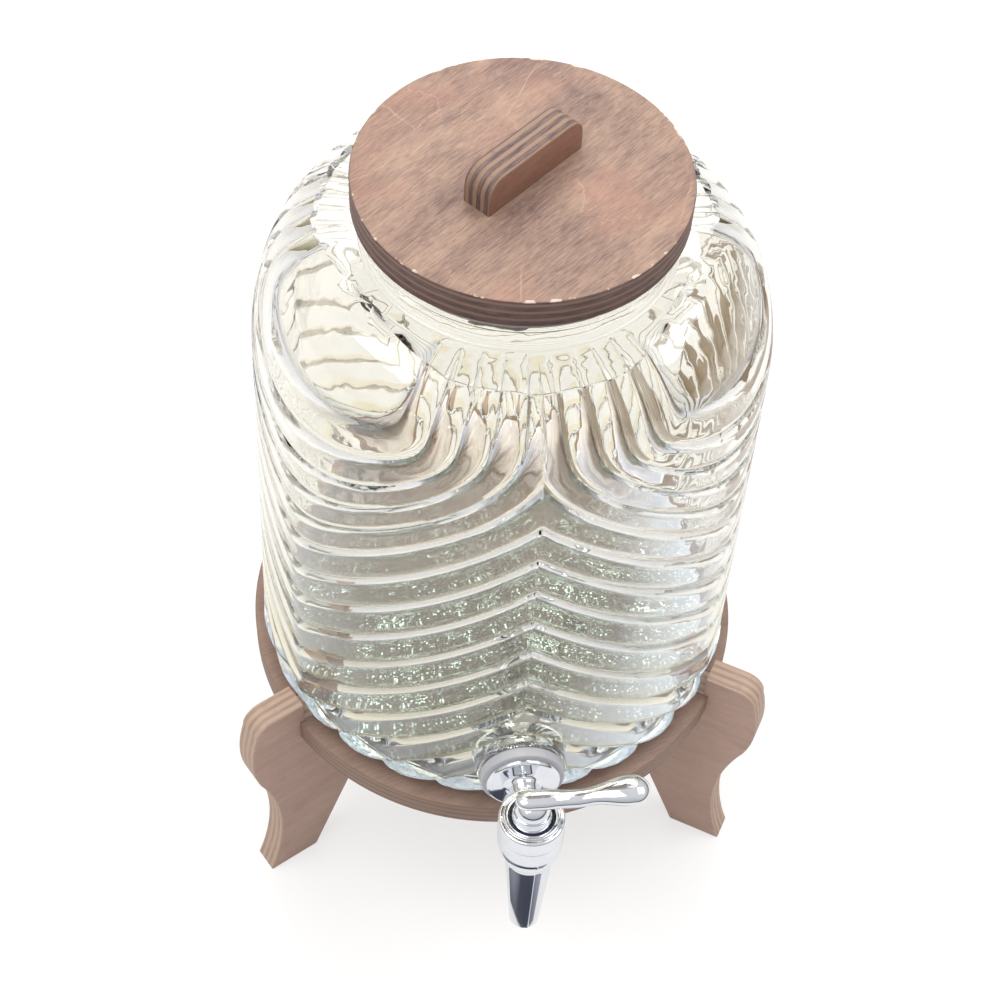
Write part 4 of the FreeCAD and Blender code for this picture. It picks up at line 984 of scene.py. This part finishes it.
def leverArm():
    # ovals along X from a round nose: the line dips and then rises to the paddle, and half width and half
    # thickness swell there and close in a round end
    rows, around, share = lever["rowSteps"], lever["aroundSteps"], leverShares
    root, tipRows = lever["socket"], share["tipRows"]
    first = -(lever["nose"] + root) / (lever["length"] - root)
    turn = np.linspace(0, np.pi / 2, rows)
    tipRow = tipRows + (1 - tipRows) * np.sin(turn)[1:]
    u = np.concatenate([first * np.cos(turn), np.linspace(0, tipRows, rows)[1:], tipRow])
    x = root + u * (lever["length"] - root)
    swell = ease(u, *share["paddle"])
    rootFade = np.clip(1 - u / share["rootEnd"], 0, 1)
    width = lever["armWidth"] / 2 + (lever["paddleWidth"] - lever["armWidth"]) / 2 * swell
    width = width + lever["rootSwell"] * rootFade ** 2
    thick = lever["armThick"] / 2 + (lever["paddleThick"] - lever["armThick"]) / 2 * swell
    nose = np.clip((lever["noseRound"] - lever["nose"] - x) / lever["noseRound"], 0, 1)
    tip = np.clip((u - share["tipRound"]) / (1 - share["tipRound"]), 0, 1)
    end = np.sqrt(np.clip(1 - tip ** 2 - nose ** 2, 0, 1))
    level = lever["armLevel"] + lever["paddleRise"] * ease(u, *share["climb"])
    level = level - lever["dip"] * np.sin(np.pi * np.clip(u / share["dipEnd"], 0, 1)) ** 2
    a = np.linspace(0, 2 * np.pi, around, endpoint=False)
    points = np.stack([np.repeat(x[:, None], around, 1), (width * end)[:, None] * np.cos(a),
                       level[:, None] + (thick * end)[:, None] * np.sin(a)], -1)
    return points.reshape(-1, 3), gridFaces(len(x), around, wrap=True)


def makeLever():
    # a low skirt in the bonnet and a rounded bell, with the arm over it
    low, socket, chamfer = lever["low"], lever["socket"], lever["skirtChamfer"]
    wide, narrow, top = lever["skirtRadius"], lever["bellRadius"], lever["bellTop"]
    deep, skirt = low + lever["socketDepth"], low + lever["skirtHeight"]
    waist = skirt + lever["bellHeight"]
    curve = arcBetween((wide, skirt), (narrow, waist), lever["skirtCurve"], 1, lever["skirtSteps"])
    bell = roundCorners([(narrow, waist), (narrow, top, lever["bellRound"]), (0.0, top)], lever["bellSteps"])
    profile = np.concatenate([
        [(0.0, deep), (socket, deep), (socket, low), (wide - chamfer, low), (wide, low + chamfer)],
        curve, bell[1:]])
    points, faces = lathe(profile)
    piece = newPiece("tapLever", tapPlace(points), faces)
    points, faces = leverArm()
    combine(piece, newPiece("leverArm", tapPlace(points), faces), "UNION")
    finishPiece(piece, "lever", chrome, "tap_lever")


makeTapBody()
makeTapRings()
makeLever()
print("tap made")


# lid

lid = {
    "radius": 60.0, "thick": 12.0, "low": 365.0, "turn": 42.0, "handleLength": 48.0,
    "handleHeight": 14.5, "handleCorner": 7.0, "softEdge": 0.7, "steps": 200, "cornerSteps": 10,
}


def makeLid():
    # a round plate, and a grip with two round corners that stands on its edge
    low, thick, turn, soft = lid["low"], lid["thick"], lid["turn"], lid["softEdge"]
    a = np.linspace(0, 2 * np.pi, lid["steps"], endpoint=False)
    points, faces = plate(lid["radius"] * np.stack([np.cos(a), np.sin(a)], -1), thick, soft)
    points[:, 2] += low
    wood = plyMaterial("lidDiscPly", "lid", turn, False, -low, thick, lid["radius"])
    finishPiece(newPiece("lidDisc", points, faces), "lid", wood, "lid_disc")
    half, high, corner = lid["handleLength"] / 2, lid["handleHeight"], lid["handleCorner"]
    outline = roundCorners([
        (-half, 0.0), (half, 0.0), (half, high, corner), (-half, high, corner), (-half, 0.0)],
        lid["cornerSteps"])
    flat, faces = plate(outline[:-1], thick, soft)
    points = turned(standing(flat, thick), turn) + [0, 0, low + thick]
    wood = plyMaterial("lidHandlePly", "grip", turn, True, thick / 2, thick)
    finishPiece(newPiece("lidHandle", points, faces), "lid", wood, "lid_handle")


makeLid()
innerWood = plyMaterial("lidInnerPly", "lid", lid["turn"], False, lid["thick"] - lid["low"], lid["thick"])
keptNodes = {
    "lid_inner_disc": innerWood, "lid_seal": silicone, "tap_rear_gasket": silicone,
    "tap_slip_washer": nylon, "tap_lock_nut": nylon, "valve_plug": valvePlastic,
    "valve_ring_upper": rubber, "valve_ring_lower": rubber, "handle_screws": screwSteel,
}
for node, material in keptNodes.items():
    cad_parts[node].data.materials.clear()
    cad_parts[node].data.materials.append(material)
print("lid made, kept nodes dressed")


# floor, light and camera, in metres

stage = {
    "floorSize": 40.0, "floorTone": 0.68, "floorSeen": 0.42, "floorGlow": 0.60, "floorShine": 0.50,
    "floorRough": 0.9, "skyStrength": 0.8, "lampAim": (0, 0, 0.2),
}
# tones of the sky by height on the left and on the right, then by the way to the front
sky = {
    "left": [(0.0, tone(158, 150, 116)), (0.13, tone(212, 206, 180)), (0.26, tone(240, 237, 229)),
             (0.6, grey(1.0))],
    "right": [(0.0, tone(84, 74, 56)), (0.13, tone(150, 138, 112)), (0.26, tone(232, 227, 216)),
              (0.6, grey(1.0))],
    "toRight": (0.05, 0.35), "toFront": (0.45, 0.95, 0.0, 0.8), "front": tone(208, 209, 212),
    "bandLow": (0.15, 0.24, 1.0, 0.0), "bandFront": (0.40, 0.55), "band": tone(84, 88, 104),
}
# flags on the floor, pieces of rings: one round the spout that only reflections show, and one behind the
# jar on the right that shows only through the glass
cards = {
    "spoutCard": {
        "centre": -0.141, "inner": 0.050, "outer": 0.082, "from": -205.0, "to": -28.0, "height": 0.002,
        "dark": tone(40, 44, 62), "light": tone(150, 152, 164), "hidden": "visible_transmission"},
    "rearCard": {
        "centre": 0.0, "inner": 0.25, "outer": 0.54, "from": 8.0, "to": 54.0, "height": 0.001,
        "dark": tone(118, 99, 74), "light": tone(118, 99, 74), "hidden": "visible_glossy"},
}
cardSteps = 48
cardAcross = (5.0, 0.5)   # slope and start of the shade across X
cardStops = ((0.10, "light"), (0.28, "dark"), (0.56, "dark"), (0.82, "light"))
# place, size and power of each lamp
lamps = {
    "softboxLeft": ((-0.9, -0.25, 1.9), 1.2, 16.0), "softboxRight": ((1.0, 0.1, 1.7), 1.0, 11.0),
    "softboxBack": ((0.1, 1.3, 1.3), 1.0, 9.0),
}
view = {
    "place": (-0.0784, -0.4950, 0.8572), "look": (0.09395, 0.59279, -0.79986), "roll": 4.09,
    "lens": 71.68, "clipStart": 0.02,
}


def makeCard(name, card):
    # piece of a ring on the floor, with its shade across X
    a = np.radians(np.linspace(card["from"], card["to"], cardSteps))
    rows = np.array([[card["inner"]], [card["outer"]]])
    level = np.full((len(rows), cardSteps), card["height"])
    points = np.stack([rows * np.cos(a), card["centre"] + rows * np.sin(a), level], -1)
    mesh = bpy.data.meshes.new(name)
    mesh.from_pydata(points.reshape(-1, 3).tolist(), [], gridFaces(len(rows), cardSteps).tolist())
    material, tree, shader = newMaterial(name)
    across = mathNode(tree, "MULTIPLY_ADD", separate(tree, objectCoords(tree))["X"], *cardAcross)
    shade = rampNode(tree, across, [(place, card[label]) for place, label in cardStops])
    fill(tree, shader, {"Base Color": shade})
    mesh.materials.append(material)
    flag = newObject(name, mesh)
    for ray in ("visible_camera", "visible_diffuse", "visible_shadow", card["hidden"]):
        setattr(flag, ray, False)


def makeFloor():
    # pale floor, a little brighter to the camera, and bright too where metal and glass show it
    half = stage["floorSize"] / 2
    mesh = bpy.data.meshes.new("floor")
    corners = [(-half, -half, 0), (half, -half, 0), (half, half, 0), (-half, half, 0)]
    mesh.from_pydata(corners, [], [(0, 1, 2, 3)])
    floor = newObject("floor", mesh)
    material, tree, shader = newMaterial("paleFloor")
    light = newNode(tree, "LightPath").outputs
    mirrored = mathNode(tree, "MAXIMUM", light["Is Glossy Ray"], light["Is Transmission Ray"])
    seen = mathNode(tree, "MAXIMUM", light["Is Camera Ray"], mirrored)
    extra = times(tree, light["Is Camera Ray"], stage["floorGlow"] - stage["floorShine"])
    fill(tree, shader, {
        "Base Color": mixColour(tree, seen, grey(stage["floorTone"]), grey(stage["floorSeen"])),
        "Roughness": stage["floorRough"], "Specular IOR Level": 0.0, "Emission Color": grey(1.0),
        "Emission Strength": mathNode(tree, "ADD", times(tree, seen, stage["floorShine"]), extra)})
    floor.data.materials.append(material)


def makeSky():
    # pale sky that falls to an olive band at the horizon, browner on the right and bluer towards the
    # front, with a low navy band there; the camera itself sees plain white
    world = bpy.data.worlds.new("studio")
    bpy.context.scene.world = world
    world.use_nodes = True
    tree = world.node_tree
    way = separate(tree, newNode(tree, "TexCoord").outputs["Generated"])
    ahead = times(tree, way["Y"], -1.0)
    toRight = fadeNode(tree, way["X"], *sky["toRight"])
    left, right = rampNode(tree, way["Z"], sky["left"]), rampNode(tree, way["Z"], sky["right"])
    colour = mixColour(tree, toRight, left, right)
    colour = mixColour(tree, fadeNode(tree, ahead, *sky["toFront"]), colour, sky["front"])
    band = times(tree, fadeNode(tree, way["Z"], *sky["bandLow"]), fadeNode(tree, ahead, *sky["bandFront"]))
    colour = mixColour(tree, band, colour, sky["band"])
    back = fill(tree, tree.nodes["Background"], {"Color": colour, "Strength": stage["skyStrength"]})
    plain = newNode(tree, "Background", {"Color": grey(1.0)})
    seen = newNode(tree, "LightPath").outputs["Is Camera Ray"]
    mix = newNode(tree, "MixShader", {"Fac": seen, 1: back.outputs[0], 2: plain.outputs[0]})
    fill(tree, tree.nodes["World Output"], {"Surface": mix.outputs[0]})


def makeLamps():
    # soft boxes turned to the middle of the jar
    for name, (place, size, power) in lamps.items():
        lamp = bpy.data.lights.new(name, "AREA")
        lamp.energy = power
        lamp.size = size
        box = newObject(name, lamp)
        box.location = place
        box.rotation_euler = (Vector(stage["lampAim"]) - Vector(place)).to_track_quat("-Z", "Y").to_euler()


def makeCamera():
    # looks along its line of sight, and is rolled about it
    forward = Vector(view["look"]).normalized()
    right = forward.cross(Vector((0, 0, 1))).normalized()
    up = right.cross(forward)
    roll = np.radians(view["roll"])
    across = right * np.cos(roll) + up * np.sin(roll)
    upward = up * np.cos(roll) - right * np.sin(roll)
    camera = newObject("camera", bpy.data.cameras.new("camera"))
    camera.data.lens = view["lens"]
    camera.data.clip_start = view["clipStart"]
    turnMatrix = Matrix((across, upward, -forward)).transposed().to_4x4()
    camera.matrix_world = Matrix.Translation(view["place"]) @ turnMatrix
    bpy.context.scene.camera = camera


makeFloor()
makeSky()
for name, card in cards.items():
    makeCard(name, card)
makeLamps()
makeCamera()
bpy.context.scene.view_settings.view_transform = "Standard"
# light crosses many glass walls before it leaves the jar
bounces = {"max_bounces": 32, "transmission_bounces": 32, "glossy_bounces": 24, "transparent_max_bounces": 24}
for label, count in bounces.items():
    setattr(bpy.context.scene.cycles, label, count)
print("stage, lamps and camera set")
